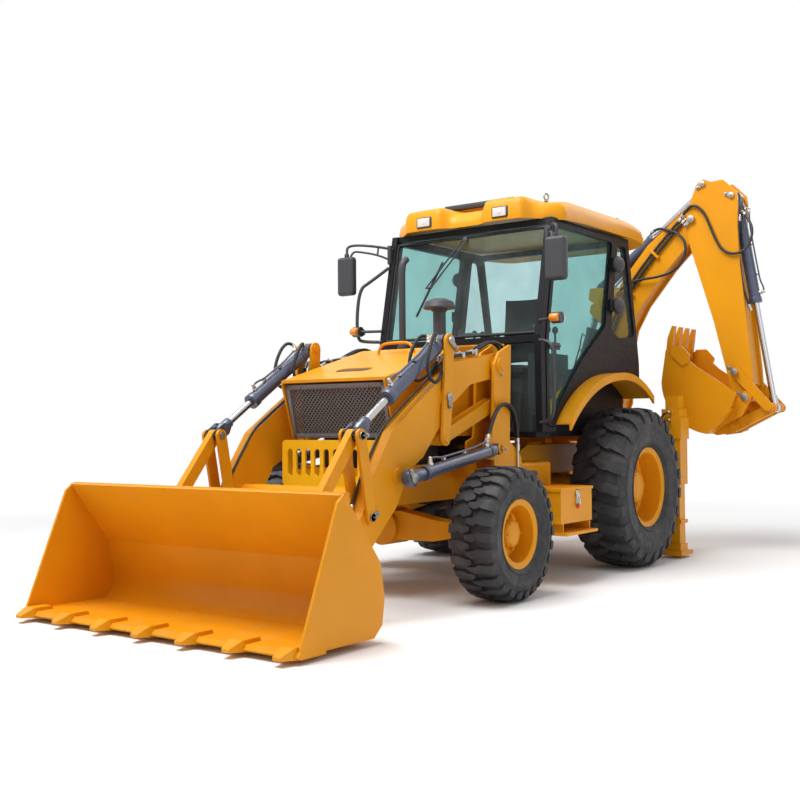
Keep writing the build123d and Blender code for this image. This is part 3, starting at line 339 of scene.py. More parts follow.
class Finish(Enum):
    """Every finish on the machine."""

    YELLOW = Paint("machine_yellow", (0.74, 0.300, 0.006))
    BUCKET = Paint("bucket_yellow", (0.74, 0.290, 0.005), dust=0.22)
    # The guard's finish is the machine yellow made lighter: painted light on the guard's front, which lies in
    # shade under the arms and bucket.
    GUARD = Paint("guard_yellow_painted_light", (0.92, 0.52, 0.012))
    CHARCOAL = Paint("charcoal_paint", (0.008, 0.008, 0.011), rough=0.45, coat=0.0, edge=0.003, dust=0.02,
                     gloss=0.18, dust_colour=(0.10, 0.09, 0.08))
    RAM = Paint("ram_slate", (0.055, 0.068, 0.115), rough=0.30, coat=0.3, edge=0.002, dust=0.06, gloss=0.5)
    CHROME = Metal("chrome", (0.52, 0.52, 0.53), rough=0.15, spots=0.02)
    STEEL = Metal("pin_steel", (0.36, 0.35, 0.32), rough=0.42, spots=0.12)
    FITTING = Metal("zinc_fitting", (0.55, 0.54, 0.50), rough=0.32, spots=0.08)
    GRILLE = Paint("grille_grey", (0.190, 0.185, 0.195), rough=0.42, coat=0.05, edge=0.001, dust=0.1,
                   gloss=0.5)
    ENGINE = Paint("engine_grey", (0.035, 0.036, 0.038), rough=0.55, coat=0.0, edge=0.004, dust=0.4)
    DARK = Plastic("dark_plastic", (0.035, 0.035, 0.042))
    SEAL = Rubber("seal_rubber", (0.012, 0.012, 0.014), scuffing=0.15)
    TYRE = Rubber("tyre_rubber", (0.020, 0.020, 0.024))
    HOSE = Rubber("hose_rubber", (0.014, 0.014, 0.017), rough=0.48, grain=0.0002, scuffing=0.25)
    FABRIC = Rubber("seat_cloth", (0.02, 0.024, 0.028), scuff=(0.05, 0.055, 0.06), rough=0.85, grain=0.0008,
                    scuffing=0.5)
    GLASS = Glass("cab_glass", (0.86, 0.955, 0.96), clear=0.98)
    DOOR_GLASS = Glass("door_glass", (0.66, 0.87, 0.85), clear=0.97)
    AMBER = Plastic("amber_lens", (0.85, 0.28, 0.02), rough=0.15)
    CLEAR = Plastic("clear_lens", (0.72, 0.70, 0.66), rough=0.18)
    RED = Plastic("red_plastic", (0.55, 0.02, 0.015), rough=0.35)


_MADE: dict[Finish, bpy.types.Material] = {}


def material_of(finish: Finish) -> bpy.types.Material:
    """The finish's material, made once."""
    if finish not in _MADE:
        _MADE[finish] = finish.value.material()
    return _MADE[finish]


NODE_FINISH = {"left_door_glass": Finish.DOOR_GLASS, "right_door_glass": Finish.DOOR_GLASS}
SLOT_FINISH = {
    "yellow_paint": Finish.YELLOW, "bucket_paint": Finish.BUCKET, "guard_paint": Finish.GUARD,
    "charcoal_paint": Finish.CHARCOAL, "ram_paint": Finish.RAM, "chrome_rod": Finish.CHROME,
    "pin_steel": Finish.STEEL, "grille_mesh": Finish.GRILLE, "engine_grey": Finish.ENGINE,
    "black_plastic": Finish.DARK, "seat_fabric": Finish.FABRIC, "tinted_glass": Finish.GLASS,
    "tyre_rubber": Finish.TYRE,
}


# ---- The machine's frame -----------------------------------------------------------------------------------
class Machine:
    """Where things are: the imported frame's joints and boxes, in machine coordinates."""

    def __init__(self, frame: dict) -> None:
        """Read the rear wheels' joints, which fix the rear axle and the centre plane."""
        self.frame = frame
        self.joints = {joint["name"]: joint for joint in frame["joints"]}
        rear = [self.joints[f"{hand}_rear_roll"]["pos_m"] for hand in HANDS]
        self.origin = Vector((rear[0][0], (rear[0][1] + rear[1][1]) / 2, 0.0))

    def world(self, x: float, y: float, z: float) -> Vector:
        """A machine point in the frame's coordinates."""
        return self.origin + Vector((x, y, z))

    def joint(self, name: str) -> Vector:
        """A joint's place, as a machine point."""
        return Vector(self.joints[name]["pos_m"]) - self.origin

    def box(self, node: str) -> tuple[Vector, Vector]:
        """A node's lowest and highest corners, as machine points."""
        low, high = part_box(node)
        return low - self.origin, high - self.origin


# ---- Shapes ------------------------------------------------------------------------------------------------
def along(direction: Vector) -> Matrix:
    """Turn that points local Z along a direction."""
    return direction.to_track_quat("Z", "Y").to_matrix().to_4x4()


def mirrored(points: Iterable[Point], hand: int) -> list[Vector]:
    """Points of the left side, or their mirror images on the right."""
    return [Vector((x, y * hand, z)) for x, y, z in points]


def centreline(points: Sequence[Point], finely: int = 10) -> list[Vector]:
    """Points along the smooth line that a route's control points steer.

    Args:
        points: the control points.
        finely: steps between two of them.

    Returns:
        Points along the line, from its first control point to its last.
    """
    curve = bpy.data.curves.new("route", "CURVE")
    curve.dimensions = "3D"
    curve.resolution_u = finely
    spline = curve.splines.new("NURBS")
    spline.points.add(len(points) - 1)
    for knot, place in zip(spline.points, points):
        knot.co = (*place, 1.0)
    spline.order_u = 3
    spline.use_endpoint_u = True
    holder = bpy.data.objects.new("route", curve)
    bpy.context.scene.collection.objects.link(holder)
    bpy.context.view_layer.update()
    mesh = bpy.data.meshes.new_from_object(holder.evaluated_get(bpy.context.evaluated_depsgraph_get()))
    line = [vert.co.copy() for vert in mesh.vertices]
    bpy.data.objects.remove(holder)
    bpy.data.curves.remove(curve)
    bpy.data.meshes.remove(mesh)
    return line


def evenly(line: Sequence[Vector], step: float) -> list[Vector]:
    """Points a step apart along a line."""
    found = [line[0]]
    left = step
    for start, end in zip(line, line[1:]):
        length = (end - start).length
        walked = 0.0
        while length - walked >= left:
            walked += left
            found.append(start.lerp(end, walked / length))
            left = step
        left -= length - walked
    return found


class Shape:
    """One piece under construction, in machine coordinates."""

    def __init__(self, name: str, finish: Finish) -> None:
        """Start an empty piece."""
        self.name = name
        self.finish = finish
        self.bm = bmesh.new()

    def round_off(self, edges: Iterable[bmesh.types.BMEdge], width: float) -> None:
        """Bevel edges by a width."""
        bmesh.ops.bevel(self.bm, geom=list(edges), offset=width, segments=2, profile=0.5, affect="EDGES",
                        material=-1)

    def soften(self, verts: Iterable[bmesh.types.BMVert], width: float) -> None:
        """Bevel every edge of what was just made, unless the width is 0."""
        if width:
            self.round_off({edge for vert in verts for edge in vert.link_edges}, width)

    def box(self, low: Point, high: Point, bevel: float = 0.0, turn: Optional[Matrix] = None) -> "Shape":
        """Add a box.

        Args:
            low: its lowest corner before it is turned.
            high: its highest corner.
            bevel: width of its softened edges.
            turn: rotation about its middle.

        Returns:
            This shape.
        """
        size = Vector(high) - Vector(low)
        middle = (Vector(high) + Vector(low)) / 2
        place = Matrix.Translation(middle) @ (turn or Matrix()) @ Matrix.Diagonal((*size, 1.0))
        self.soften(bmesh.ops.create_cube(self.bm, size=1.0, matrix=place)["verts"], bevel)
        return self

    def rod(self, start: Point, end: Point, radius: float, far: Optional[float] = None, sides: int = 20,
            bevel: float = 0.0) -> "Shape":
        """Add a round bar, or a cone if its far radius differs."""
        first = Vector(start)
        reach = Vector(end) - first
        place = Matrix.Translation(first + reach / 2) @ along(reach)
        made = bmesh.ops.create_cone(self.bm, cap_ends=True, segments=sides, radius1=radius,
                                     radius2=radius if far is None else far, depth=reach.length, matrix=place)
        if bevel:
            rims = [edge for edge in {e for v in made["verts"] for e in v.link_edges}
                    if any(len(face.verts) == sides for face in edge.link_faces)]
            self.round_off(rims, bevel)
        return self

    def ball(self, centre: Point, radius: float, stretch: Point = (1, 1, 1)) -> "Shape":
        """Add a ball, stretched along the axes."""
        place = Matrix.Translation(centre) @ Matrix.Diagonal((*stretch, 1.0))
        bmesh.ops.create_uvsphere(self.bm, u_segments=20, v_segments=12, radius=radius, matrix=place)
        return self

    def turned(self, profile: Sequence[Point], centre: Point, axis: Point, steps: int = 48) -> "Shape":
        """Add a ring or disc turned from a closed profile.

        Args:
            profile: (radius, distance along the axis) pairs, in order round the section.
            centre: a point on the axis, where the distance is 0.
            axis: its direction.
            steps: facets round it.

        Returns:
            This shape.
        """
        frame = Matrix.Translation(centre) @ along(Vector(axis))
        verts = [self.bm.verts.new(frame @ Vector((radius, 0.0, height))) for radius, height in profile]
        edges = [self.bm.edges.new(pair) for pair in zip(verts, verts[1:] + verts[:1])]
        bmesh.ops.spin(self.bm, geom=verts + edges, cent=centre, axis=Vector(axis).normalized(),
                       angle=math.tau, steps=steps, use_merge=True, use_duplicate=False)
        return self

    def plate(self, view: View, outline: Sequence[Point], start: float, end: float,
              bevel: float = 0.0) -> "Shape":
        """Add a plate with this outline, from one depth of a view to another."""
        verts = [self.bm.verts.new(view.point(u, v, start)) for u, v in outline]
        face = self.bm.faces.new(verts)
        grown = bmesh.ops.extrude_face_region(self.bm, geom=[face])["geom"]
        moved = [item for item in grown if isinstance(item, bmesh.types.BMVert)]
        bmesh.ops.translate(self.bm, verts=moved, vec=view.point(0, 0, end - start))
        self.soften(verts + moved, bevel)
        return self

    def strap(self, view: View, start: Point, end: Point, radius: float, depth: float,
              thick: float) -> "Shape":
        """Add a flat bar with round ends, about two points of a view."""
        found: list[bmesh.types.BMVert] = []
        for place in (start, end):
            first = view.point(*place, depth)
            reach = view.point(0, 0, thick)
            matrix = Matrix.Translation(first + reach / 2) @ along(reach)
            found += bmesh.ops.create_cone(self.bm, cap_ends=True, segments=24, radius1=radius,
                                           radius2=radius, depth=abs(thick), matrix=matrix)["verts"]
        hull = bmesh.ops.convex_hull(self.bm, input=found, use_existing_faces=False)
        spare = {item for item in hull["geom_interior"] + hull["geom_unused"]
                 if isinstance(item, bmesh.types.BMVert) and item.is_valid}
        bmesh.ops.delete(self.bm, geom=list(spare), context="VERTS")
        return self

    def bolt(self, place: Point, axis: Point, across: float, washer: bool = True) -> "Shape":
        """Add a hexagon head standing on a surface, on its washer."""
        up = Vector(axis).normalized()
        base = Vector(place)
        if washer:
            self.rod(base, base + up * across * 0.16, across * 0.72, sides=20)
        self.rod(base, base + up * across * 0.62, across * 0.56, sides=6, bevel=across * 0.05)
        return self

    def nut(self, start: Point, end: Point, radius: float) -> "Shape":
        """Add a hexagon nut along a pipe."""
        return self.rod(start, end, radius, sides=6, bevel=0.0015)

    def tube(self, points: Sequence[Point], radius: float, sides: int = 12, finely: int = 10) -> "Shape":
        """Add a round tube along the smooth line of a route, closed at both ends."""
        line = centreline(points, finely)
        rings = []
        start = (line[1] - line[0]).normalized()
        across = Vector((1.0, 0.0, 0.0)) if abs(start.z) > 0.9 else Vector((0.0, 0.0, 1.0))
        for index, place in enumerate(line):
            ahead = line[min(index + 1, len(line) - 1)] - line[max(index - 1, 0)]
            across = (across - across.project(ahead)).normalized()
            other = ahead.normalized().cross(across)
            ring = bmesh.ops.create_circle(self.bm, cap_ends=False, segments=sides, radius=radius)["verts"]
            turn = Matrix((across, other, ahead.normalized())).transposed().to_4x4()
            bmesh.ops.transform(self.bm, matrix=Matrix.Translation(place) @ turn, verts=ring)
            rings.append(ring)
        for near, far in zip(rings, rings[1:]):
            for index in range(sides):
                after = (index + 1) % sides
                self.bm.faces.new((near[index], near[after], far[after], far[index]))
        self.bm.faces.new(rings[0][::-1])
        self.bm.faces.new(rings[-1])
        return self

    def wrapped(self, points: Sequence[Point], radius: float, pitch: float) -> "Shape":
        """Add the turns of a spiral guard about a hose's route, as rings a pitch apart."""
        stops = evenly(centreline(points), pitch)
        for near, far in zip(stops, stops[1:]):
            self.rod(near.lerp(far, 0.12), near.lerp(far, 0.88), radius, sides=12, bevel=pitch * 0.12)
        return self

    def made(self, machine: "Machine") -> bpy.types.Object:
        """The finished object, in the frame's coordinates, its normals outward and its faces smoothed."""
        bmesh.ops.recalc_face_normals(self.bm, faces=self.bm.faces)
        bmesh.ops.translate(self.bm, verts=self.bm.verts, vec=machine.origin)
        for face in self.bm.faces:
            face.smooth = True
        for edge in self.bm.edges:
            edge.smooth = len(edge.link_faces) == 2 and edge.calc_face_angle(0.0) < SMOOTH_ANGLE
        mesh = bpy.data.meshes.new(self.name)
        self.bm.to_mesh(mesh)
        self.bm.free()
        mesh.materials.append(material_of(self.finish))
        piece = bpy.data.objects.new(self.name, mesh)
        bpy.context.scene.collection.objects.link(piece)
        LOG.info("piece %s: %d faces, %s", self.name, len(mesh.polygons), self.finish.name)
        return piece


class Assembly:
    """A sub-assembly: makes its pieces and puts each on the body that carries it."""

    def __init__(self, machine: Machine) -> None:
        """Keep the machine whose places the pieces are worked out from."""
        self.machine = machine

    def put(self, shape: Shape, body: str) -> bpy.types.Object:
        """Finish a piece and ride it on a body."""
        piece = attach(shape.made(self.machine), body)
        return piece

    def build(self) -> None:
        """Make every piece of this sub-assembly."""
        raise NotImplementedError


# ---- Wheels ------------------------------------------------------------------------------------------------
@dataclass(frozen=True)
class Tread:
    """A tyre's lugs, one row on each side of its middle, half a pitch apart.

    Each station of a lug is (share of the half width, shift along the tread, width, drop below the
    crown), all but the share in metres.
    """

    count: int
    depth: float
    stations: tuple[tuple[float, float, float, float], ...]


FRONT_TREAD = Tread(count=26, depth=0.026, stations=(
    (-0.10, 0.012, 0.030, 0.001), (0.20, 0.004, 0.052, 0.0), (0.42, 0.020, 0.050, 0.001),
    (0.52, 0.014, 0.056, 0.003), (0.80, 0.010, 0.058, 0.010), (0.955, 0.010, 0.060, 0.030),
    (0.985, 0.010, 0.050, 0.062)))
REAR_TREAD = Tread(count=23, depth=0.036, stations=(
    (-0.10, 0.075, 0.040, 0.001), (0.14, 0.050, 0.078, 0.0), (0.38, 0.022, 0.074, 0.001),
    (0.46, 0.030, 0.076, 0.003), (0.78, 0.004, 0.080, 0.014), (0.95, -0.004, 0.084, 0.048),
    (0.985, -0.006, 0.070, 0.105)))


class Wheel(Assembly):
    """A tyre with its tread, and the fastenings of its rim."""

    def __init__(self, machine: Machine, hand: str, axle: str, tread: Tread) -> None:
        """Read the tyre's size from its CAD node."""
        super().__init__(machine)
        self.name = f"{hand}_{axle}"
        self.hand = HANDS[hand]
        self.tread = tread
        self.front = axle == "front"
        self.centre = machine.joint(f"{self.name}_roll")
        low, high = machine.box(f"{self.name}_tyre")
        self.radius = (high.z - low.z) / 2 - 0.001
        self.half = (high.y - low.y) / 2 - 0.001
        rim_low, rim_high = machine.box(f"{self.name}_rim")
        self.rim = (rim_high.z - rim_low.z) / 2
        self.face = (rim_high.y if self.hand > 0 else rim_low.y) - self.centre.y
        self.body = f"{self.name}_wheel"

    def build(self) -> None:
        """Make the tyre and the rim's fastenings."""
        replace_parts(self.put(self.tyre(), self.body), f"{self.name}_tyre")
        self.put(self.fastenings(), self.body)
        self.put(self.valve(), self.body)

    def tyre(self) -> Shape:
        """Carcass with ribbed walls, and its lugs."""
        shape = Shape(f"{self.name}_tyre_tread", Finish.TYRE)
        base = self.radius - self.tread.depth
        wall = base - self.rim
        half = [(self.rim, 0.78), (self.rim + 0.018, 0.86), (self.rim + 0.030, 0.94),
                (self.rim + 0.036, 0.90), (self.rim + wall * 0.35, 0.965), (self.rim + wall * 0.52, 0.975),
                (self.rim + wall * 0.55, 0.995), (self.rim + wall * 0.60, 0.995),
                (self.rim + wall * 0.63, 0.972), (self.rim + wall * 0.86, 0.93), (base - 0.012, 0.84),
                (base - 0.003, 0.66), (base, 0.35)]
        profile = [(radius, share * self.half) for radius, share in half]
        profile += [(radius, -height) for radius, height in reversed(profile)]
        shape.turned(profile, self.centre, (0, 1, 0), 72)
        pitch = math.tau / self.tread.count
        for side in (1, -1):
            for index in range(self.tread.count):
                self.lug(shape.bm, pitch * (index + (0.5 if side < 0 else 0.0)), side)
        return shape

    def lug(self, bm: bmesh.types.BMesh, phase: float, side: int) -> None:
        """One lug, lofted across its stations and wrapped round the tyre."""
        rings = []
        for share, shift, width, drop in self.tread.stations:
            top = self.radius - drop
            foot = min(top - 0.008, self.radius - self.tread.depth - 0.010 - drop * 0.4)
            corners = ((foot, -width * 0.58), (top, -width * 0.5), (top, width * 0.5), (foot, width * 0.58))
            ring = []
            for radius, reach in corners:
                angle = phase + (shift + reach) / self.radius
                offset = (radius * math.cos(angle), side * share * self.half, radius * math.sin(angle))
                ring.append(bm.verts.new(self.centre + Vector(offset)))
            rings.append(ring)
        for near, far in zip(rings, rings[1:]):
            for index in range(4):
                after = (index + 1) % 4
                bm.faces.new((near[index], near[after], far[after], far[index]))
        bm.faces.new(rings[0])
        bm.faces.new(rings[-1])

    def spot(self, radius: float, angle: float, out: float) -> Vector:
        """A point on the wheel's outer side, by radius, angle and distance outward from its middle plane."""
        return self.centre + Vector((radius * math.cos(angle), self.hand * out, radius * math.sin(angle)))

    def fastenings(self) -> Shape:
        """Wheel nuts on their studs, and the hub cap's screws."""
        shape = Shape(f"{self.name}_wheel_nuts", Finish.YELLOW)
        dish = 0.032 if self.front else 0.042
        outward = (0, self.hand, 0)
        for index in range(8):
            shape.bolt(self.spot(self.rim * 0.50, math.tau * (index + 0.5) / 8, dish), outward, 0.026)
        cap, dome = dish + 0.043, self.rim * 0.40
        for index in range(6):
            screw = self.spot(dome * 0.84, math.tau * index / 6, cap + 0.008)
            shape.bolt(screw, outward, 0.012, washer=False)
        cover = [(0.0, dish - 0.004), (dome, dish - 0.004), (dome, cap - 0.012), (dome * 0.93, cap + 0.004),
                 (dome * 0.78, cap + 0.014), (dome * 0.40, cap + 0.020), (0.0, cap + 0.021)]
        shape.turned(cover, self.centre, outward, 48)
        return shape

    def valve(self) -> Shape:
        """Tyre valve leaning out of the rim's well."""
        shape = Shape(f"{self.name}_valve", Finish.FITTING)
        foot = self.spot(self.rim * 0.84, -1.1, 0.045)
        shape.rod(foot, foot + Vector((-0.010, self.hand * 0.045, 0.014)), 0.006, sides=12)
        return shape


# ---- Front -------------------------------------------------------------------------------------------------
@dataclass
class Grille(Assembly):
    """Perforated radiator grille in its leaning frame, with the dark core behind it."""

    machine: Machine
    foot: tuple[float, float] = (2.626, 1.097)
    head: tuple[float, float] = (2.714, 1.466)
    half: float = 0.434
    rim: float = 0.030
    depth: float = 0.024
    pitch: float = 0.023
    web: float = 0.0042

    def build(self) -> None:
        """Make the screen, its frame and the core."""
        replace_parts(self.put(self.screen(), "chassis"), "grille")
        self.put(self.frame(), "chassis")
        core = Shape("radiator_core", Finish.ENGINE)
        core.box((2.50, -0.40, 1.11), (2.585, 0.40, 1.40), 0.004)
        self.put(core, "chassis")

    def lean(self, low: float, high: float) -> list[tuple[float, float]]:
        """Outline of a slice of the leaning frame between two shares of its height."""
        rise = (self.head[0] - self.foot[0], self.head[1] - self.foot[1])
        start, end = [(self.foot[0] + rise[0] * share, self.foot[1] + rise[1] * share)
                      for share in (low, high)]
        return [start, (start[0] + self.depth, start[1]), (end[0] + self.depth, end[1]), end]

    def screen(self) -> Shape:
        """Diamond mesh cut from a turned grid."""
        shape = Shape("grille_screen", Finish.GRILLE)
        rise = Vector((self.head[0] - self.foot[0], 0.0, self.head[1] - self.foot[1]))
        tall = rise.length / 2 - 0.010
        size = (self.half + tall) / math.sqrt(2) + self.pitch
        cells = round(2 * size / self.pitch)
        bmesh.ops.create_grid(shape.bm, x_segments=cells, y_segments=cells, size=size,
                              matrix=Matrix.Rotation(math.radians(45), 4, "Z"))
        for normal, reach in (((1, 0, 0), self.half - 0.01), ((-1, 0, 0), self.half - 0.01),
                              ((0, 1, 0), tall), ((0, -1, 0), tall)):
            everything = shape.bm.verts[:] + shape.bm.edges[:] + shape.bm.faces[:]
            bmesh.ops.bisect_plane(shape.bm, geom=everything, plane_co=Vector(normal) * reach,
                                   plane_no=normal, clear_outer=True)
        whole = [face for face in shape.bm.faces if face.calc_area() > 0.45 * self.pitch ** 2]
        bmesh.ops.inset_individual(shape.bm, faces=whole, thickness=self.web)
        bmesh.ops.delete(shape.bm, geom=whole, context="FACES")
        bmesh.ops.solidify(shape.bm, geom=shape.bm.faces[:], thickness=0.003)
        up = rise.normalized()
        place = Matrix((Vector((0, 1, 0)), up, Vector((0, 1, 0)).cross(up))).transposed().to_4x4()
        middle = Vector((self.foot[0] + 0.010, 0.0, self.foot[1])) + rise / 2
        bmesh.ops.transform(shape.bm, matrix=Matrix.Translation(middle) @ place, verts=shape.bm.verts)
        return shape

    def frame(self) -> Shape:
        """Folded frame round the screen, and its bolts."""
        shape = Shape("grille_frame", Finish.GRILLE)
        share = self.rim / (self.head[1] - self.foot[1])
        for low, high in ((0.0, share), (1.0 - share, 1.0)):
            shape.plate(View.SIDE, self.lean(low, high), -self.half, self.half, 0.003)
        for start in (-self.half, self.half - self.rim):
            shape.plate(View.SIDE, self.lean(0.0, 1.0), start, start + self.rim, 0.003)
        for y in (-0.30, 0.30):
            for low in (0.02, 0.94):
                x, z = self.lean(low, low + 0.02)[1]
                shape.bolt((x, y, z), (1, 0, -0.24), 0.016, washer=False)
        return shape


class Hood(Assembly):
    """Dark plate that paints the shade in the opening at the hood's top front, the handle and side catches of
    the engine hood, and the exhaust stack that rides on it.
    """

    def build(self) -> None:
        """Make what the hood carries."""
        # Painted shade: a thin dark plate laid on the hood's top front where its opening shows black, instead
        # of a hole.
        opening_shade = Shape("hood_opening_painted_shade", Finish.DARK)
        opening_shade.box((2.435, -0.165, 1.552), (2.575, 0.165, 1.560), 0.002, Matrix.Rotation(0.27, 4, "Y"))
        self.put(opening_shade, "hood")
        handle = Shape("hood_handle", Finish.YELLOW)
        handle.tube([(2.02, -0.16, 1.695), (2.02, -0.16, 1.775), (2.02, 0.0, 1.785), (2.02, 0.16, 1.775),
                     (2.02, 0.16, 1.695)], 0.011)
        self.put(handle, "hood")
        catches = Shape("hood_catches", Finish.DARK)
        for hand in HANDS.values():
            catches.box((2.10, hand * 0.466 - 0.010, 1.20), (2.16, hand * 0.466 + 0.010, 1.30), 0.006)
            catches.rod((2.13, hand * 0.47, 1.27), (2.13, hand * 0.488, 1.27), 0.014)
        self.put(catches, "hood")
        exhaust = Shape("exhaust_stack", Finish.DARK)
        exhaust.tube([(1.700, -0.175, 1.740), (1.700, -0.175, 2.000), (1.700, -0.175, 2.280),
                      (1.698, -0.175, 2.380), (1.680, -0.175, 2.430), (1.640, -0.175, 2.455)], 0.026, 20)
        exhaust.rod((1.700, -0.175, 1.750), (1.700, -0.175, 1.790), 0.038, sides=28, bevel=0.004)
        self.put(exhaust, "hood")


# ---- Rams and hoses ----------------------------------------------------------------------------------------
@dataclass
class Ram(Assembly):
    """What a ram's barrel carries: gland, bands, the fittings of its ports and the hard line along it."""

    machine: Machine
    body: str
    view: View
    rear: tuple[float, float]
    tip: tuple[float, float]
    depth: float
    radius: float
    length: float
    side: int = 1
    tag: str = ""

    def spot(self, reach: float, height: float, across: float = 0.0) -> Vector:
        """A point by its distance along the barrel, height off its axis and offset across the view."""
        run = (Vector(self.tip) - Vector(self.rear)).normalized()
        up = Vector((-run.y, run.x)) * self.side
        place = Vector(self.rear) + run * reach + up * height
        return self.view.point(place.x, place.y, self.depth + across)

    def build(self) -> None:
        """Make the gland, the fittings and the line."""
        name = f"{self.body}{self.tag}"
        gland = Shape(f"{name}_gland", Finish.RAM)
        gland.rod(self.spot(self.length - 0.050, 0), self.spot(self.length - 0.004, 0), self.radius + 0.007,
                  sides=32, bevel=0.003)
        for shift in (0.0, 0.0124):
            gland.rod(self.spot(0.085 + shift, 0), self.spot(0.110 + shift, 0), self.radius + 0.005, sides=32,
                      bevel=0.002)
        self.put(gland, self.body)
        rear, front = 0.125, self.length - 0.085
        top = self.radius
        fittings = Shape(f"{name}_fittings", Finish.FITTING)
        for reach in (rear, front):
            fittings.rod(self.spot(reach, top - 0.006), self.spot(reach, top + 0.014), 0.019, sides=20,
                         bevel=0.002)
            fittings.nut(self.spot(reach, top + 0.012), self.spot(reach, top + 0.036), 0.014)
            fittings.ball(self.spot(reach, top + 0.042), 0.012)
        fittings.nut(self.spot(rear + 0.02, top + 0.042, 0.028), self.spot(rear + 0.055, top + 0.042, 0.028),
                     0.013)
        half = Vector((0.012, 0.012, 0.012))
        for share in (0.42, 0.78):
            middle = self.spot(rear + (front - rear) * share, top + 0.012)
            fittings.box(middle - half, middle + half, 0.003)
        self.put(fittings, self.body)
        line = Shape(f"{name}_hard_line", Finish.RAM)
        line.tube([self.spot(front, top + 0.040), self.spot(front - 0.05, top + 0.042, 0.004),
                   self.spot(front - 0.10, top + 0.026, 0.010), self.spot(front - 0.20, top + 0.024, 0.012),
                   self.spot(rear + 0.20, top + 0.024, 0.020), self.spot(rear + 0.12, top + 0.034, 0.028),
                   self.spot(rear + 0.04, top + 0.042, 0.028)], 0.0075)
        self.put(line, self.body)


@dataclass(frozen=True)
class Hose:
    """A hydraulic hose: the bodies it runs between, its route, its radius and its spiral guard's pitch.

    For a hose between two bodies, bend[0] and bend[1] are turned into frame points, but the hose is not bent
    between its bodies.
    """

    name: str
    bodies: tuple[str, ...]
    route: tuple[tuple[float, float, float], ...]
    radius: float = 0.0095
    pitch: float = 0.0
    bend: tuple[tuple[float, float, float], ...] = ()


GUARD = 0.0028
HOSE_GAP = 0.034
TILT_RAM_Y, LIFT_RAM_Y, HOE_RAM_X = 0.595, 0.733, -1.450
LEVER_TOP, ROD_PIN = (2.305, 1.747), (3.266, 1.122)
LIFT_REAR, LIFT_FRONT = (1.827, 1.008), (2.864, 0.850)
DIPPER_TAIL, BUCKET_RAM_BASE = (1.061, 3.375), (1.330, 3.235)


def shifted(hose: Hose, name: str, move: Point) -> Hose:
    """A hose beside another one."""
    route = tuple(tuple(a + b for a, b in zip(point, move)) for point in hose.route)
    return Hose(name, hose.bodies, route, hose.radius, hose.pitch, hose.bend)


RAM_LOOP = Hose("tilt_ram_loop_outer", ("tilt_levers", "lever_pins"),
                ((2.300, 0.612, 1.640), (2.345, 0.632, 1.560), (2.410, 0.660, 1.490), (2.500, 0.676, 1.452),
                 (2.580, 0.678, 1.500), (2.585, 0.678, 1.620), (2.510, 0.672, 1.765), (2.440, 0.650, 1.800),
                 (2.412, 0.625, 1.752)), pitch=0.015, bend=((2.320, 0.6, 1.600), (2.430, 0.6, 1.660)))
RAM_LOOP_INNER = Hose("tilt_ram_loop_inner", ("tilt_levers", "lever_pins"),
                      ((2.300, 0.578, 1.640), (2.345, 0.560, 1.560), (2.410, 0.530, 1.500),
                       (2.490, 0.514, 1.470), (2.560, 0.512, 1.520), (2.560, 0.514, 1.640),
                       (2.480, 0.520, 1.760), (2.420, 0.545, 1.790), (2.390, 0.570, 1.755)), pitch=0.015,
                      bend=((2.320, 0.6, 1.600), (2.430, 0.6, 1.660)))
LEVER_RUN = Hose("tilt_lever_hose_outer", ("loader_arms", "tilt_levers"),
                 ((1.920, 0.612, 1.690), (2.020, 0.612, 1.676), (2.150, 0.612, 1.656), (2.235, 0.612, 1.640),
                  (2.300, 0.612, 1.640)), pitch=0.015, bend=((2.080, 0.6, 1.660), (2.290, 0.6, 1.640)))
TOWER_ARCH = Hose("tower_hose_outer", ("chassis", "loader_arms"),
                  ((1.462, 0.612, 1.300), (1.462, 0.612, 1.470), (1.468, 0.612, 1.630), (1.520, 0.612, 1.745),
                   (1.640, 0.612, 1.785), (1.780, 0.612, 1.755), (1.920, 0.612, 1.690)), pitch=0.015,
                  bend=((1.540, 0.6, 1.720), (1.800, 0.6, 1.740)))
LIFT_LOOP = Hose("lift_ram_loop", ("chassis", "lift_barrels"),
                 ((1.470, 0.695, 1.040), (1.474, 0.698, 1.150), (1.530, 0.705, 1.270), (1.650, 0.722, 1.335),
                  (1.790, 0.735, 1.310), (1.885, 0.740, 1.210), (1.950, 0.733, 1.075)), pitch=0.015,
                 bend=((1.560, 0.7, 1.200), (1.880, 0.7, 1.150)))
ARM_PIPE = Hose("arm_pipe", ("loader_arms",),
                ((2.180, 0.558, 1.640), (2.260, 0.558, 1.605), (2.400, 0.558, 1.497), (2.540, 0.558, 1.408),
                 (2.672, 0.558, 1.325), (2.800, 0.558, 1.243), (2.931, 0.558, 1.157), (3.040, 0.558, 1.010),
                 (3.142, 0.558, 0.868), (3.190, 0.558, 0.765), (3.238, 0.555, 0.662)), 0.0085)
LOADER_HOSES = (ARM_PIPE, RAM_LOOP, RAM_LOOP_INNER, LEVER_RUN,
                shifted(LEVER_RUN, "tilt_lever_hose_inner", (0, -HOSE_GAP, 0)),
                TOWER_ARCH, shifted(TOWER_ARCH, "tower_hose_inner", (0, -HOSE_GAP, 0)), LIFT_LOOP,
                shifted(LIFT_LOOP, "lift_ram_loop_inner", (-0.017, -0.022, -0.006)))

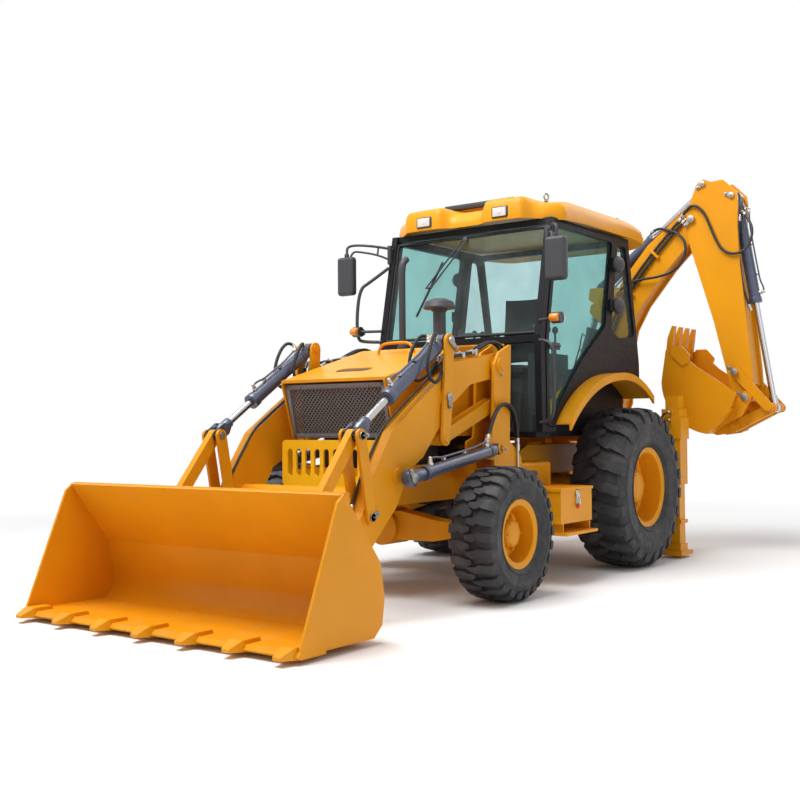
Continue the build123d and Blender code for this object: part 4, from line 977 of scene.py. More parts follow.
HOE_FACE = -1.318
ELBOW_LOOP = Hose("elbow_loop", ("boom", "dipper"),
                  ((HOE_FACE, 0.845, 3.085), (HOE_FACE + 0.02, 0.900, 3.150), (HOE_FACE + 0.04, 0.985, 3.195),
                   (HOE_FACE + 0.04, 1.075, 3.120), (HOE_FACE + 0.04, 1.130, 2.990),
                   (HOE_FACE + 0.04, 1.180, 2.860), (HOE_FACE + 0.04, 1.240, 2.745),
                   (HOE_FACE + 0.04, 1.350, 2.690), (HOE_FACE + 0.03, 1.470, 2.730),
                   (HOE_FACE + 0.01, 1.520, 2.870), (HOE_FACE - 0.03, 1.480, 3.000),
                   (HOE_FACE - 0.077, 1.400, 3.085)), 0.0125,
                  bend=((HOE_FACE, 0.860, 2.950), (HOE_FACE, 1.150, 2.900)))
BOOM_LOOP = Hose("dipper_ram_loop", ("boom", "dipper_barrel"),
                 ((HOE_FACE, 0.190, 2.440), (HOE_FACE + 0.02, 0.300, 2.520), (HOE_FACE + 0.03, 0.450, 2.545),
                  (HOE_FACE + 0.04, 0.620, 2.550), (HOE_FACE + 0.04, 0.790, 2.590),
                  (HOE_FACE + 0.04, 0.895, 2.710), (HOE_FACE + 0.04, 0.905, 2.850),
                  (HOE_FACE + 0.03, 0.820, 2.950), (HOE_FACE, 0.700, 2.995),
                  (HOE_FACE - 0.05, 0.590, 3.030), (HOE_FACE - 0.10, 0.515, 3.005)), 0.0125,
                 bend=((HOE_FACE, 0.600, 2.740), (HOE_FACE, 0.600, 2.960)))
BOOM_RUN = Hose("boom_hose_upper", ("boom",),
                ((HOE_FACE, -0.050, 1.250), (HOE_FACE, -0.020, 1.500), (HOE_FACE, 0.050, 1.900),
                 (HOE_FACE, 0.160, 2.240), (HOE_FACE, 0.340, 2.540), (HOE_FACE, 0.600, 2.840),
                 (HOE_FACE, 0.845, 3.085)), 0.0125)
FOOT_RUN = Hose("boom_foot_hose", ("swing_post", "boom"),
                ((HOE_FACE, -0.300, 0.930), (HOE_FACE + 0.02, -0.200, 0.900),
                 (HOE_FACE + 0.03, -0.090, 0.980), (HOE_FACE + 0.02, -0.050, 1.100),
                 (HOE_FACE, -0.050, 1.250)), 0.0125,
                bend=((HOE_FACE, -0.180, 0.930), (HOE_FACE, -0.060, 1.160)))
DIPPER_RUN = Hose("dipper_hose", ("dipper",),
                  ((HOE_FACE - 0.03, 1.385, 3.040), (HOE_FACE - 0.02, 1.370, 2.850),
                   (HOE_FACE - 0.01, 1.385, 2.600), (HOE_FACE - 0.01, 1.420, 2.350),
                   (HOE_FACE - 0.03, 1.470, 2.200)), 0.0110)
HOE_HOSES = (ELBOW_LOOP, BOOM_LOOP, BOOM_RUN,
             shifted(BOOM_RUN, "boom_hose_lower", (0, HOSE_GAP, -0.022)), FOOT_RUN,
             shifted(FOOT_RUN, "boom_foot_hose_lower", (0, HOSE_GAP, -0.022)), DIPPER_RUN)


class Hoses(Assembly):
    """The hoses of the loader and the backhoe, with their end fittings, clamps and hard pipes."""

    def build(self) -> None:
        """Lay the hoses of both loader arms and of the backhoe, and fix their pipes."""
        for side, hand in HANDS.items():
            for hose in LOADER_HOSES:
                self.lay(hose, hand, f"{side}_")
            self.tower_pipes(side, hand)
        for hose in HOE_HOSES:
            self.lay(hose, 1, "")
        self.boom_clamps()

    def lay(self, hose: Hose, hand: int, prefix: str) -> None:
        """Make one hose, its guard and its ferrules; put them on their body when the hose has one, and leave
        them unattached when it runs between two.
        """
        route = mirrored(hose.route, hand)
        line = centreline(route)
        shape = Shape(prefix + hose.name, Finish.HOSE)
        shape.tube(route, hose.radius)
        if hose.pitch:
            shape.wrapped(route, hose.radius + GUARD, hose.pitch)
        if len(hose.bodies) == 1:
            piece = self.put(shape, hose.bodies[0])
        else:
            piece = shape.made(self.machine)
            bend_start, bend_end = [self.machine.world(*point) for point in mirrored(hose.bend, hand)]
            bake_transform(piece)
        fittings = Shape(f"{prefix}{hose.name}_nuts", Finish.FITTING)
        for end, beside in ((line[0], line[2]), (line[-1], line[-3])):
            away = (beside - end).normalized()
            fittings.rod(end - away * 0.022, end + away * 0.006, hose.radius + 0.003, sides=6, bevel=0.001)
            fittings.rod(end + away * 0.004, end + away * 0.040, hose.radius + 0.004, sides=16, bevel=0.0015)
        if len(hose.bodies) == 1:
            nuts = self.put(fittings, hose.bodies[0])
        else:
            nuts = fittings.made(self.machine)
            # Known fault, kept with the looks: line[-1] is a machine point, where a frame point is due.
            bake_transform(nuts)
            path = [self.machine.world(*point) for point in line]

    def tower_pipes(self, side: str, hand: int) -> None:
        """Hard pipes down the back of one tower, their unions and the clamps on the arm."""
        pipes = Shape(f"{side}_tower_pipes", Finish.FITTING)
        for y in (0.612, 0.578):
            pipes.rod((1.462, y * hand, 1.040), (1.462, y * hand, 1.300), 0.0085)
            for z in (1.270, 1.130):
                pipes.nut((1.462, y * hand, z), (1.462, y * hand, z + 0.030), 0.016)
        for x, y, z in ((1.470, 0.695, 0.985), (1.453, 0.673, 0.979)):
            pipes.nut((x, y * hand, z), (x, y * hand, z + 0.050), 0.016)
            pipes.rod((x, y * hand, z - 0.150), (x, y * hand, z), 0.0085)
        self.put(pipes, "chassis")
        clamps = Shape(f"{side}_arm_hose_clamps", Finish.FITTING)
        y = TILT_RAM_Y * hand
        for x, z in ((1.920, 1.688), (2.080, 1.664)):
            clamps.box((x - 0.016, y - 0.040, z - 0.022), (x + 0.016, y + 0.040, z + 0.018), 0.004,
                       Matrix.Rotation(0.15, 4, "Y"))
            clamps.bolt((x, y, z + 0.018), (0.15, 0, 1), 0.014, washer=False)
        self.put(clamps, "loader_arms")

    def boom_clamps(self) -> None:
        """Clamp bars that hold the hoses on the boom's side."""
        clamps = Shape("boom_hose_clamps", Finish.YELLOW)
        for y, z, turn in ((0.010, 1.600, -0.20), (0.095, 2.020, -0.32), (0.300, 2.440, -0.80),
                           (0.560, 2.780, -0.80)):
            clamps.box((HOE_FACE - 0.030, y - 0.045, z - 0.012), (HOE_FACE + 0.018, y + 0.075, z + 0.012),
                       0.004, Matrix.Rotation(turn, 4, "X"))
        self.put(clamps, "boom")


class RodEnds(Assembly):
    """Slate yokes at the ends of the tilt rods and sleeved eyes at the ends of the lift rods."""

    def build(self) -> None:
        """Make the ends on both sides."""
        for side, hand in HANDS.items():
            rod, lever = self.machine.joint("rod_pin_turn"), self.machine.joint("tilt_barrel_pivot")
            run = Vector((rod.x - lever.x, rod.z - lever.z)).normalized()
            yoke = Shape(f"{side}_tilt_yoke", Finish.RAM)
            for near, far in ((0.5480, 0.5630), (0.6270, 0.6420)):
                yoke.strap(View.SIDE, (rod.x, rod.z), (rod.x - run.x * 0.075, rod.z - run.y * 0.075), 0.043,
                           hand * near, hand * (far - near))
            back = Vector((rod.x, rod.z)) - run * 0.100
            yoke.rod(View.SIDE.point(*back, hand * 0.546), View.SIDE.point(*back, hand * 0.644), 0.030,
                     sides=24, bevel=0.004)
            behind = Vector((rod.x, rod.z)) - run * 0.165
            y = hand * TILT_RAM_Y
            yoke.rod(View.SIDE.point(*back, y), View.SIDE.point(*behind, y), 0.037, sides=28, bevel=0.004)
            self.put(yoke, "tilt_rods")
            eye = Shape(f"{side}_lift_rod_eye", Finish.RAM)
            front, rear = Vector(LIFT_FRONT), Vector(LIFT_REAR)
            run = (front - rear).normalized()
            eye.rod(View.SIDE.point(*front, hand * 0.703), View.SIDE.point(*front, hand * 0.763), 0.056,
                    sides=40, bevel=0.005)
            neck = front - run * 0.135
            y = hand * LIFT_RAM_Y
            eye.rod(View.SIDE.point(*front, y), View.SIDE.point(*neck, y), 0.041, sides=28, bevel=0.003)
            self.put(eye, "lift_rods")


# ---- Pins --------------------------------------------------------------------------------------------------
@dataclass(frozen=True)
class Pin:
    """A pin's end: the body that holds it, its place in its view, the depth of its face and its radius."""

    name: str
    body: str
    place: tuple[float, float]
    depth: float
    radius: float
    keeper: tuple[float, float] = (0.0, -0.06)


SIDE_PINS = (
    Pin("arm_pivot", "chassis", (1.672, 1.601), 0.684, 0.036),
    Pin("lever_mid", "loader_arms", (2.332, 1.365), 0.684, 0.031),
    Pin("lever_top", "lever_pins", LEVER_TOP, 0.684, 0.029, (-0.045, -0.045)),
    Pin("nose", "nose_pins", (3.170, 0.624), 0.674, 0.027, (-0.05, 0.02)),
    Pin("rod", "rod_pins", ROD_PIN, 0.674, 0.026, (-0.045, 0.0)),
    Pin("hinge", "hinge_pins", (3.480, 0.244), 0.678, 0.031, (-0.05, 0.03)),
    Pin("lift_front", "loader_arms", LIFT_FRONT, 0.772, 0.031, (0.04, 0.045)),
    Pin("lift_rear", "chassis", LIFT_REAR, 0.772, 0.031, (-0.05, 0.0)),
)
HOE_PINS = (
    Pin("boom_foot", "swing_post", (-0.080, 0.970), -1.283, 0.038, (-0.06, 0.02)),
    Pin("elbow", "boom", (0.951, 3.060), -1.278, 0.036, (-0.05, -0.05)),
    Pin("dipper_tail", "dipper", DIPPER_TAIL, -1.293, 0.028, (-0.045, -0.03)),
    Pin("bucket_ram_base", "dipper", BUCKET_RAM_BASE, -1.293, 0.028, (-0.05, 0.02)),
    Pin("tipping", "dipper", (1.353, 1.631), -1.238, 0.030, (-0.05, 0.04)),
    Pin("bucket", "digging_bucket", (1.444, 1.401), -1.232, 0.034, (-0.05, 0.04)),
)


class Pins(Assembly):
    """Bright ends of the pins, with their keeper plates, bolts and grease nipples."""

    def build(self) -> None:
        """Make every pin's end on both sides of the loader and on the backhoe's face."""
        for side, hand in HANDS.items():
            for pin in SIDE_PINS:
                self.end(f"{side}_{pin.name}", pin, View.SIDE, hand)
        for pin in HOE_PINS:
            self.end(f"hoe_{pin.name}", pin, View.CROSS, 1)

    def end(self, name: str, pin: Pin, view: View, out: int) -> None:
        """One pin's end, facing one way or the other along its view's depth."""
        shape = Shape(f"{name}_pin_end", Finish.STEEL)
        face = pin.depth * out
        u, v = pin.place
        shape.rod(view.point(u, v, face - out * 0.012), view.point(u, v, face + out * 0.006), pin.radius,
                  sides=32, bevel=0.003)
        bolt = (u + pin.keeper[0], v + pin.keeper[1])
        shape.strap(view, (u, v), bolt, 0.017, face - out * 0.008, out * 0.010)
        shape.bolt(view.point(*bolt, face + out * 0.002), view.point(0, 0, out), 0.019)
        shape.rod(view.point(u, v, face + out * 0.004), view.point(u, v, face + out * 0.018), 0.005, sides=12)
        self.put(shape, pin.body)


# ---- Cab ---------------------------------------------------------------------------------------------------
@dataclass
class Cab(Assembly):
    """What is fixed on and in the cab."""

    machine: Machine
    half: float = 0.760
    roof_half: float = 0.800
    roof_round: float = 0.085
    screen_foot: tuple[float, float] = (1.204, 1.856)
    screen_head: tuple[float, float] = (1.016, 2.712)

    def build(self) -> None:
        """Make the cab's fittings, outside and in."""
        self.wiper()
        self.roof()
        self.canopy()
        self.rails()
        self.mirror_arms()
        self.lamps()
        self.controls()
        self.seat()
        for side, hand in HANDS.items():
            self.door_fittings(side, hand)

    def on_screen(self, y: float, z: float, out: float = 0.0) -> Vector:
        """A point on the windscreen, or off it by a distance."""
        rise = Vector((self.screen_head[0] - self.screen_foot[0], self.screen_head[1] - self.screen_foot[1]))
        share = (z - self.screen_foot[1]) / rise.y
        away = Vector((rise.y, -rise.x)).normalized() * out
        return Vector((self.screen_foot[0] + rise.x * share + away.x, y, z + away.y))

    def wiper(self) -> None:
        """Twin wiper rods, the blade and the seal round the screen."""
        shape = Shape("wiper", Finish.DARK)
        shape.rod(self.on_screen(-0.02, 2.665, 0.0), self.on_screen(-0.02, 2.665, 0.030), 0.022, sides=20,
                  bevel=0.003)
        for y in (-0.045, 0.005):
            shape.rod(self.on_screen(y, 2.665, 0.020), self.on_screen(y - 0.30, 2.290, 0.028), 0.0065)
        shape.rod(self.on_screen(-0.350, 2.290, 0.026), self.on_screen(-0.290, 2.290, 0.026), 0.009)
        shape.rod(self.on_screen(-0.22, 2.500, 0.016), self.on_screen(-0.42, 2.060, 0.016), 0.008)
        shape.rod(self.on_screen(-0.22, 2.500, 0.006), self.on_screen(-0.42, 2.060, 0.006), 0.005, sides=6)
        self.put(shape, "chassis")
        band = Shape("windscreen_band", Finish.SEAL)
        y = self.half - 0.055
        corners = [(-y, 1.872), (y, 1.872), (y, 2.690), (-y, 2.690)]
        for near, far in zip(corners, corners[1:] + corners[:1]):
            band.rod(self.on_screen(*near, 0.002), self.on_screen(*far, 0.002), 0.012, sides=12)
        self.put(band, "chassis")

    def roof(self) -> None:
        """The dark strip of the hatch, the lifting eyes and the work lamps in the roof's brow."""
        strip = Shape("roof_hatch_strip", Finish.DARK)
        strip.box((0.835, -0.335, 2.955), (0.885, 0.335, 3.000), 0.012)
        strip.box((0.20, -0.290, 2.980), (0.80, 0.290, 2.996), 0.008)
        self.put(strip, "chassis")
        eyes = Shape("roof_eyes", Finish.STEEL)
        angles = [math.tau * index / 10 for index in range(10)]
        ring = [(0.024 + 0.007 * math.cos(angle), 0.007 * math.sin(angle)) for angle in angles]
        for x, y in ((0.86, 0.62), (0.86, -0.62), (-0.46, 0.60), (-0.46, -0.60)):
            eyes.turned(ring, (x, y, 2.962), (0.3, 1, 0), 24)
            eyes.rod((x, y, 2.925), (x, y, 2.945), 0.016, sides=12)
        self.put(eyes, "chassis")
        for side, hand in HANDS.items():
            y = 0.36 * hand
            shell = Shape(f"{side}_work_lamp", Finish.DARK)
            shell.box((1.090, y - 0.074, 2.788), (1.146, y + 0.074, 2.878), 0.012)
            shell.rod((1.115, y, 2.870), (1.115, y, 2.900), 0.010)
            self.put(shell, "chassis")
            face = Shape(f"{side}_work_lamp_lens", Finish.CLEAR)
            face.box((1.144, y - 0.060, 2.798), (1.149, y + 0.060, 2.868), 0.003)
            for index in range(6):
                rib = y - 0.050 + 0.020 * index
                face.rod((1.148, rib, 2.801), (1.148, rib, 2.865), 0.004)
            face.ball((1.146, y, 2.833), 0.022, (0.4, 1, 1))
            self.put(face, "chassis")

    def rails(self) -> None:
        """Grab bars beside both doors."""
        shape = Shape("grab_rails", Finish.DARK)
        shape.tube([(1.110, -0.745, 2.500), (1.180, -0.900, 2.380), (1.240, -0.950, 2.330),
                    (1.275, -0.960, 2.120), (1.270, -0.960, 1.900), (1.255, -0.900, 1.875),
                    (1.215, -0.745, 1.870)], 0.014)
        shape.tube([(1.215, 0.745, 1.190), (1.245, 0.850, 1.200), (1.252, 0.885, 1.300),
                    (1.252, 0.885, 1.700), (1.245, 0.850, 1.800), (1.218, 0.745, 1.810)], 0.013)
        self.put(shape, "chassis")

    def canopy(self) -> None:
        """Moulded roof skin: crowned, with a brow that falls between two raised lamp pods, and its hatch."""
        shape = Shape("roof_skin", Finish.YELLOW)
        bmesh.ops.create_grid(shape.bm, x_segments=90, y_segments=80, size=1.0)
        rim = [edge for edge in shape.bm.edges if edge.is_boundary]
        wall = bmesh.ops.extrude_edge_only(shape.bm, edges=rim)["geom"]
        low = {item for item in wall if isinstance(item, bmesh.types.BMVert)}
        foot = [item for item in wall
                if isinstance(item, bmesh.types.BMEdge) and all(vert in low for vert in item.verts)]
        under = bmesh.ops.extrude_edge_only(shape.bm, edges=foot)["geom"]
        inner = {item for item in under if isinstance(item, bmesh.types.BMVert)}
        for vert in shape.bm.verts:
            s, t = vert.co.x, vert.co.y
            if vert in inner:
                x, y, _ = self.roof_point(s * 0.90, t * 0.90)
                vert.co = (x, y, self.roof_rim(x, y) + 0.018)
            elif vert in low:
                x, y, _ = self.roof_point(s, t)
                vert.co = (x, y, self.roof_rim(x, y))
            else:
                vert.co = self.roof_point(s, t)
        floor = [edge for edge in shape.bm.edges if edge.is_boundary]
        bmesh.ops.holes_fill(shape.bm, edges=floor, sides=0)
        shape.box((0.150, -0.330, 2.925), (0.850, 0.330, 2.984), 0.012)
        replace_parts(self.put(shape, "chassis"), "cab_roof")

    def roof_point(self, s: float, t: float) -> Vector:
        """A point of the roof's top, by its shares of the roof's length and width from -1 to 1."""
        y = self.roof_half * t
        wide = abs(y)
        pod = math.exp(-(max(0.0, abs(wide - 0.380) - 0.150) / 0.060) ** 2)
        brow = 1.075 + 0.060 * pod - 0.190 * max(0.0, (wide - 0.50) / 0.30) ** 2.2
        tail = -0.700 + 0.140 * max(0.0, (wide - 0.54) / 0.26) ** 2.0
        x = tail + (brow - tail) * (s + 1) / 2
        edge = min(brow - x, self.roof_half - wide, x - tail)
        inward = min(1.0, edge / self.roof_round)
        dip = self.roof_round * (1 - math.sqrt(max(0.0, 1 - (1 - inward) ** 2)))
        fall = max(0.0, (x - 0.700) / 0.375)
        slope = 0.085 * min(1.0, fall) ** 1.6 * (1 - pod)
        side = 0.030 * max(0.0, (wide - 0.35) / 0.45) ** 2
        back = 0.060 * max(0.0, (-0.30 - x) / 0.40) ** 1.5
        top = 2.950 - slope - side - back
        floor = self.roof_rim(x, y) + 0.035
        return Vector((x, y, max(floor, top - dip * (0.55 + 0.45 * (1 - pod)))))

    @staticmethod
    def roof_rim(x: float, y: float) -> float:
        """Height of the roof's lower edge, which droops at its front corners and along its tail."""
        corner = max(0.0, (abs(y) - 0.45) / 0.35) ** 2 * max(0.0, (x - 0.55) / 0.50)
        return 2.768 - 0.022 * min(1.0, corner) - 0.040 * max(0.0, (-0.35 - x) / 0.35) ** 1.5

    def mirror_arms(self) -> None:
        """Ladder arms of the mirrors: two rails with a rung, down to the head's top."""
        for side, hand, reach, top in (("left", 1, 0.935, 2.560), ("right", -1, 1.050, 2.597)):
            shape = Shape(f"{side}_mirror_arm", Finish.DARK)
            head = hand * reach
            shape.tube([(1.065, hand * 0.735, 2.660), (1.150, hand * 0.820, top + 0.085),
                        (1.240, hand * (reach - 0.06), top + 0.105), (1.285, head, top + 0.090),
                        (1.2925, head, top + 0.040), (1.2925, head, top - 0.02)], 0.011)
            shape.tube([(1.080, hand * 0.735, 2.560), (1.150, hand * 0.800, top + 0.010),
                        (1.240, hand * (reach - 0.09), top + 0.045),
                        (1.275, hand * (reach - 0.045), top + 0.045),
                        (1.290, hand * (reach - 0.03), top - 0.02)], 0.009)
            shape.rod((1.150, hand * 0.825, top + 0.070), (1.160, hand * 0.825, top + 0.020), 0.008)
            shape.box((1.045, hand * 0.750 - 0.016, 2.530), (1.105, hand * 0.750 + 0.016, 2.690), 0.006)
            shape.rod((1.2925, head, top - 0.004), (1.2925, head, top + 0.028), 0.020, sides=20, bevel=0.004)
            self.put(shape, "chassis")

    def lamps(self) -> None:
        """Front side lamps: an amber and a clear lens on each stalk."""
        y, z = 0.937, 1.960
        for side, hand in HANDS.items():
            for finish, x, word in ((Finish.AMBER, 1.337, "amber"), (Finish.CLEAR, 1.253, "clear")):
                lens = Shape(f"{side}_{word}_lens", finish)
                lens.rod((x, hand * (y - 0.034), z), (x, hand * (y + 0.034), z), 0.030, sides=28, bevel=0.008)
                self.put(lens, "chassis")

    def controls(self) -> None:
        """Levers with their knobs, the column's stalk and block, and the wheel's hub and spinner knob."""
        levers = Shape("cab_levers", Finish.DARK)
        for x, y, lean in ((0.55, 0.36, 0.05), (0.42, 0.36, -0.03), (0.55, -0.36, 0.05), (0.42, -0.36, -0.03),
                           (0.26, -0.36, 0.0), (0.26, 0.36, 0.0)):
            levers.rod((x, y, 1.755), (x + lean, y, 1.950), 0.009)
            levers.ball((x + lean, y, 1.965), 0.026, (1, 1, 1.25))
        levers.rod((0.885, 0.03, 1.790), (0.905, 0.190, 1.835), 0.008)
        levers.box((0.92, -0.150, 1.660), (0.99, 0.150, 1.800), 0.020, Matrix.Rotation(-0.35, 4, "Y"))
        self.put(levers, "chassis")
        wheel = Shape("steering_wheel_hub", Finish.DARK)
        wheel.rod((0.866, 0, 1.835), (0.855, 0, 1.868), 0.045, sides=28, bevel=0.006)
        wheel.rod((0.80, 0.125, 1.850), (0.795, 0.125, 1.905), 0.018, sides=16, bevel=0.005)
        self.put(wheel, "chassis")

    def seat(self) -> None:
        """Seat cushion and backrest, crowned and sewn in channels."""
        pads = [("seat_cushion", (0.125, -0.235, 1.565), (0.595, 0.235, 1.685), None),
                ("seat_back", (0.060, -0.220, 1.705), (0.170, 0.220, 2.275), Matrix.Rotation(-0.14, 4, "Y"))]
        for name, low, high, turn in pads:
            pad = Shape(name, Finish.FABRIC)
            cushion(pad, low, high, turn)
            piece = self.put(pad, "chassis")
            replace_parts(piece, "operator_seat")

    def door_fittings(self, side: str, hand: int) -> None:
        """Handle of one door, and the two round covers at its rear edge."""
        shape = Shape(f"{side}_door_handle", Finish.DARK)
        y = hand * 0.770
        shape.box((0.955, y - 0.006, 1.745), (1.120, y + 0.010, 1.800), 0.006)
        shape.tube([(0.975, y, 1.772), (0.985, y + hand * 0.032, 1.775), (1.050, y + hand * 0.036, 1.775),
                    (1.085, y + hand * 0.012, 1.772)], 0.009)
        for z in (2.515, 2.165):
            shape.ball((-0.040, hand * 0.800, z), 0.060, (1.45, 0.80, 1.15))
        self.put(shape, f"{side}_door")


def cushion(shape: Shape, low: Point, high: Point, turn: Optional[Matrix]) -> None:
    """Add a crowned pad: its sides pull in between its corners and seams cross its face.

    Args:
        shape: the piece to add it to.
        low: lowest corner before it is turned.
        high: highest corner.
        turn: rotation about its middle.
    """
    made = bmesh.ops.create_cube(shape.bm, size=2.0)["verts"]
    edges = list({edge for vert in made for edge in vert.link_edges})
    bmesh.ops.subdivide_edges(shape.bm, edges=edges, cuts=17, use_grid_fill=True)
    middle = (Vector(low) + Vector(high)) / 2
    half = (Vector(high) - Vector(low)) / 2
    thin = min(range(3), key=lambda axis: half[axis])
    wide = [axis for axis in range(3) if axis != thin]
    for vert in shape.bm.verts:
        u, v = vert.co[wide[0]], vert.co[wide[1]]
        fullness = (1 - abs(u) ** 5) * (1 - abs(v) ** 5)
        seams = sum(math.exp(-((v - line) / 0.035) ** 2) for line in (-0.5, 0.0, 0.5))
        vert.co[thin] *= (0.30 + 0.62 * fullness ** 0.55) * (1 - 0.09 * seams * fullness)
        soft = 1 - 0.10 * (vert.co[thin] ** 2)
        vert.co[wide[0]] = u * (1 - 0.035 * (1 - v * v)) * soft
        vert.co[wide[1]] = v * (1 - 0.035 * (1 - u * u)) * soft
        vert.co = Vector(part * size for part, size in zip(vert.co, half))
    place = Matrix.Translation(middle) @ (turn or Matrix())
    bmesh.ops.transform(shape.bm, matrix=place, verts=shape.bm.verts)


# ---- Sides and rear ----------------------------------------------------------------------------------------
class Sides(Assembly):
    """Latches, treads and tank fittings between the wheels, and the stabilizers' ports."""

    def build(self) -> None:
        """Make the fittings of both sides."""
        for side, hand in HANDS.items():
            self.tread_plate(side, hand)
            self.latch(side, hand)
            self.stabilizer_ports(side, hand)
        self.tank_neck()

    def tread_plate(self, side: str, hand: int) -> None:
        """Raised lozenges on the box's lid and on the step below it."""
        shape = Shape(f"{side}_tread_lozenges", Finish.YELLOW)
        for low, high, top in (((0.915, 0.665), (1.380, 0.990), 0.712),
                               ((0.920, 0.800), (1.375, 1.040), 0.392)):
            columns, rows = round((high[0] - low[0]) / 0.040), round((high[1] - low[1]) / 0.034)
            for column in range(columns):
                for row in range(rows):
                    x = low[0] + (column + 0.5) * (high[0] - low[0]) / columns
                    y = hand * (low[1] + (row + 0.5) * (high[1] - low[1]) / rows)
                    turn = Matrix.Rotation(math.radians(45 if (column + row) % 2 else -45), 4, "Z")
                    shape.box((x - 0.013, y - 0.0035, top - 0.001), (x + 0.013, y + 0.0035, top + 0.0025),
                              0.0, turn)
        self.put(shape, "chassis")

    def latch(self, side: str, hand: int) -> None:
        """Draw latch on the box, with its bail and its red grip."""
        y = hand * 1.002
        shape = Shape(f"{side}_box_latch", Finish.FITTING)
        shape.box((1.120, y - 0.004, 0.590), (1.165, y + 0.006, 0.700), 0.003)
        shape.box((1.112, y, 0.640), (1.173, y + hand * 0.016, 0.668), 0.004)
        shape.tube([(1.128, y, 0.650), (1.124, y + hand * 0.022, 0.610), (1.142, y + hand * 0.026, 0.585),
                    (1.160, y + hand * 0.022, 0.610), (1.157, y, 0.650)], 0.0045)
        self.put(shape, "chassis")
        tag = Shape(f"{side}_box_latch_grip", Finish.RED)
        tag.box((1.128, y + hand * 0.004, 0.560), (1.157, y + hand * 0.018, 0.590), 0.004)
        self.put(tag, "chassis")

    def stabilizer_ports(self, side: str, hand: int) -> None:
        """Two ports at the top of a stabilizer's housing and the hose between them and the frame."""
        ports = Shape(f"{side}_stabilizer_ports", Finish.FITTING)
        for z in (1.275, 1.205):
            ports.nut((-0.692, hand * 0.975, z), (-0.655, hand * 0.975, z), 0.014)
            ports.ball((-0.650, hand * 0.975, z), 0.013)
            ports.rod((-0.650, hand * 0.975, z), (-0.650, hand * 0.945, z - 0.012), 0.012, sides=6)
        self.put(ports, "chassis")
        for index, z in enumerate((1.275, 1.205)):
            hose = Shape(f"{side}_stabilizer_hose_{index + 1}", Finish.HOSE)
            hose.tube([(-0.650, hand * 0.945, z - 0.012), (-0.650, hand * 0.915, z - 0.03),
                       (-0.655, hand * 0.870, z - 0.12), (-0.680, hand * 0.800, z - 0.18),
                       (-0.700, hand * 0.700, z - 0.20 + index * 0.03)], 0.009)
            self.put(hose, "chassis")

    def tank_neck(self) -> None:
        """Filler neck and cap of the hydraulic tank, in front of the left door."""
        neck = Shape("tank_neck", Finish.YELLOW)
        neck.rod((1.330, 0.720, 0.700), (1.330, 0.720, 0.800), 0.040, sides=28, bevel=0.003)
        self.put(neck, "chassis")
        cap = Shape("tank_cap", Finish.DARK)
        cap.rod((1.330, 0.720, 0.800), (1.330, 0.720, 0.835), 0.052, sides=28, bevel=0.008)
        self.put(cap, "chassis")


def build_all(machine: Machine) -> None:
    """Make every sub-assembly."""
    for side in HANDS:
        Wheel(machine, side, "front", FRONT_TREAD).build()
        Wheel(machine, side, "rear", REAR_TREAD).build()
    Grille(machine).build()
    Hood(machine).build()
    for side, hand in HANDS.items():
        Ram(machine, "tilt_barrels", View.SIDE, LEVER_TOP, ROD_PIN, TILT_RAM_Y * hand, radius=0.048,
            length=0.73, tag=f"_{side}").build()
        Ram(machine, "lift_barrels", View.SIDE, LIFT_REAR, LIFT_FRONT, LIFT_RAM_Y * hand, radius=0.042,
            length=0.90, tag=f"_{side}").build()
    Ram(machine, "boom_barrel", View.CROSS, (-0.430, 1.240), (-0.080, 2.300), HOE_RAM_X, radius=0.055,
        length=0.93).build()
    Ram(machine, "dipper_barrel", View.CROSS, (-0.100, 2.456), DIPPER_TAIL, HOE_RAM_X, radius=0.055,
        length=0.80, side=-1).build()
    Ram(machine, "bucket_barrel", View.CROSS, BUCKET_RAM_BASE, (1.645, 1.305), HOE_RAM_X, radius=0.050,
        length=0.99).build()
    Hoses(machine).build()
    RodEnds(machine).build()
    Pins(machine).build()
    Cab(machine).build()
    Sides(machine).build()


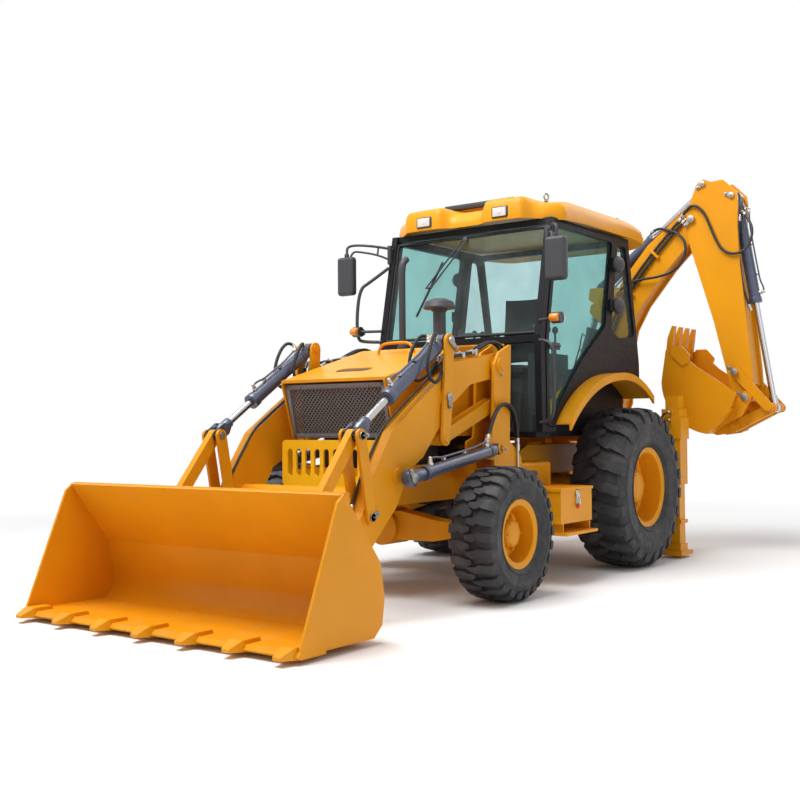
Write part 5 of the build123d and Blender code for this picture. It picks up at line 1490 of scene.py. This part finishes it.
# ---- Studio ------------------------------------------------------------------------------------------------
@dataclass
class Studio:
    """Pale floor, soft lamps and the camera."""

    machine: Machine
    eye: tuple[float, float, float] = (8.3823, 4.7468, 1.1917)
    yaw: float = math.radians(216.53)
    pitch: float = math.radians(1.246)
    roll: float = math.radians(-0.49)
    lens: float = 48.95
    floor_size: float = 120.0

    def build(self) -> None:
        """Make everything that isn't the machine."""
        self.make_floor()
        self.make_world()
        self.make_lamps()
        self.make_camera()
        bpy.context.scene.view_settings.view_transform = "Standard"

    def make_floor(self) -> None:
        """Large pale plane that fades into the backdrop away from the machine."""
        bm = bmesh.new()
        bmesh.ops.create_grid(bm, x_segments=2, y_segments=2, size=self.floor_size / 2)
        mesh = bpy.data.meshes.new("studio_floor")
        bm.to_mesh(mesh)
        bm.free()
        floor = bpy.data.objects.new("studio_floor", mesh)
        bpy.context.scene.collection.objects.link(floor)
        g = Graph("floor_paper")
        g.set(Base_Color=(0.86, 0.86, 0.86, 1.0), Roughness=0.9, Specular_IOR_Level=0.1)
        glow = g.add("ShaderNodeEmission")
        distance = g.add("ShaderNodeVectorMath", operation="LENGTH")
        g.join(g.object, distance.inputs[0])
        far = g.spread(distance.outputs["Value"], 5.0, 9.0, 0.0, 1.0)
        seen = g.add("ShaderNodeLightPath")
        straight = g.add("ShaderNodeMath", operation="MAXIMUM")
        g.join(seen.outputs["Is Camera Ray"], straight.inputs[0])
        g.join(seen.outputs["Is Glossy Ray"], straight.inputs[1])
        mix = g.add("ShaderNodeMixShader")
        g.join(g.multiply(far, straight.outputs[0]), mix.inputs[0])
        g.join(g.shader.outputs[0], mix.inputs[1])
        g.join(glow.outputs[0], mix.inputs[2])
        g.join(mix.outputs[0], g.output.inputs["Surface"])
        mesh.materials.append(g.material)

    def make_world(self) -> None:
        """White backdrop that lights the machine at a plain level."""
        world = bpy.data.worlds.new("studio_world")
        bpy.context.scene.world = world
        world.use_nodes = True
        tree = world.node_tree
        tree.nodes.clear()
        path = tree.nodes.new("ShaderNodeLightPath")
        seen = tree.nodes.new("ShaderNodeMath")
        seen.operation = "MAXIMUM"
        tree.links.new(path.outputs["Is Camera Ray"], seen.inputs[0])
        tree.links.new(path.outputs["Is Transmission Ray"], seen.inputs[1])
        either = tree.nodes.new("ShaderNodeMath")
        either.operation = "MAXIMUM"
        tree.links.new(seen.outputs[0], either.inputs[0])
        tree.links.new(path.outputs["Is Glossy Ray"], either.inputs[1])
        level = tree.nodes.new("ShaderNodeMapRange")
        level.inputs["To Min"].default_value = 0.44
        level.inputs["To Max"].default_value = 1.0
        tree.links.new(either.outputs[0], level.inputs["Value"])
        back = tree.nodes.new("ShaderNodeBackground")
        back.inputs["Color"].default_value = (1.0, 1.0, 1.0, 1.0)
        tree.links.new(level.outputs["Result"], back.inputs["Strength"])
        out = tree.nodes.new("ShaderNodeOutputWorld")
        tree.links.new(back.outputs[0], out.inputs["Surface"])

    def make_lamps(self) -> None:
        """Large soft lamps: a key from high in front, a fill from the left and a rim from behind."""
        for name, place, size, power in (("key_lamp", (5.0, -1.0, 10.0), 6.5, 1300.0),
                                         ("fill_lamp", (4.0, 9.0, 5.5), 6.0, 90.0),
                                         ("back_lamp", (-7.0, 3.0, 7.5), 6.0, 220.0)):
            light = bpy.data.lights.new(name, "AREA")
            light.shape = "SQUARE"
            light.size = size
            light.energy = power
            lamp = bpy.data.objects.new(name, light)
            bpy.context.scene.collection.objects.link(lamp)
            lamp.location = self.machine.world(*place)
            aim = self.machine.world(1.3, 0.2, 1.2) - lamp.location
            lamp.rotation_euler = aim.to_track_quat("-Z", "Y").to_euler()

    def make_camera(self) -> None:
        """Camera low in front, to the machine's left."""
        data = bpy.data.cameras.new("camera")
        data.sensor_width = 36.0
        data.lens = self.lens
        data.clip_end = 300.0
        camera = bpy.data.objects.new("camera", data)
        bpy.context.scene.collection.objects.link(camera)
        camera.location = self.machine.world(*self.eye)
        level = math.cos(self.pitch)
        forward = Vector((level * math.cos(self.yaw), level * math.sin(self.yaw), math.sin(self.pitch)))
        turn = forward.to_track_quat("-Z", "Y").to_matrix() @ Matrix.Rotation(self.roll, 3, "Z")
        camera.rotation_euler = turn.to_euler()
        bpy.context.scene.camera = camera


# ---- Carried-over pieces -----------------------------------------------------------------------------------
def dress_frame(machine: Machine) -> None:
    """Give each CAD node the finish of its record slot."""
    slots = {entry["node"]: entry["material_slot"] for entry in machine.frame["record"]["subparts"]}
    for name, piece in machine.frame["nodes"].items():
        finish = NODE_FINISH.get(name, SLOT_FINISH[slots[name]])
        piece.data.materials.clear()
        piece.data.materials.append(material_of(finish))
        LOG.info("node %s is finished in %s", name, finish.name)


def main() -> None:
    """Build the scene around the frame."""
    logging.basicConfig(level=logging.INFO, format="%(message)s")
    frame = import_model()
    machine = Machine(frame)
    Studio(machine).build()
    dress_frame(machine)
    build_all(machine)


if __name__ == "__main__":
    main()
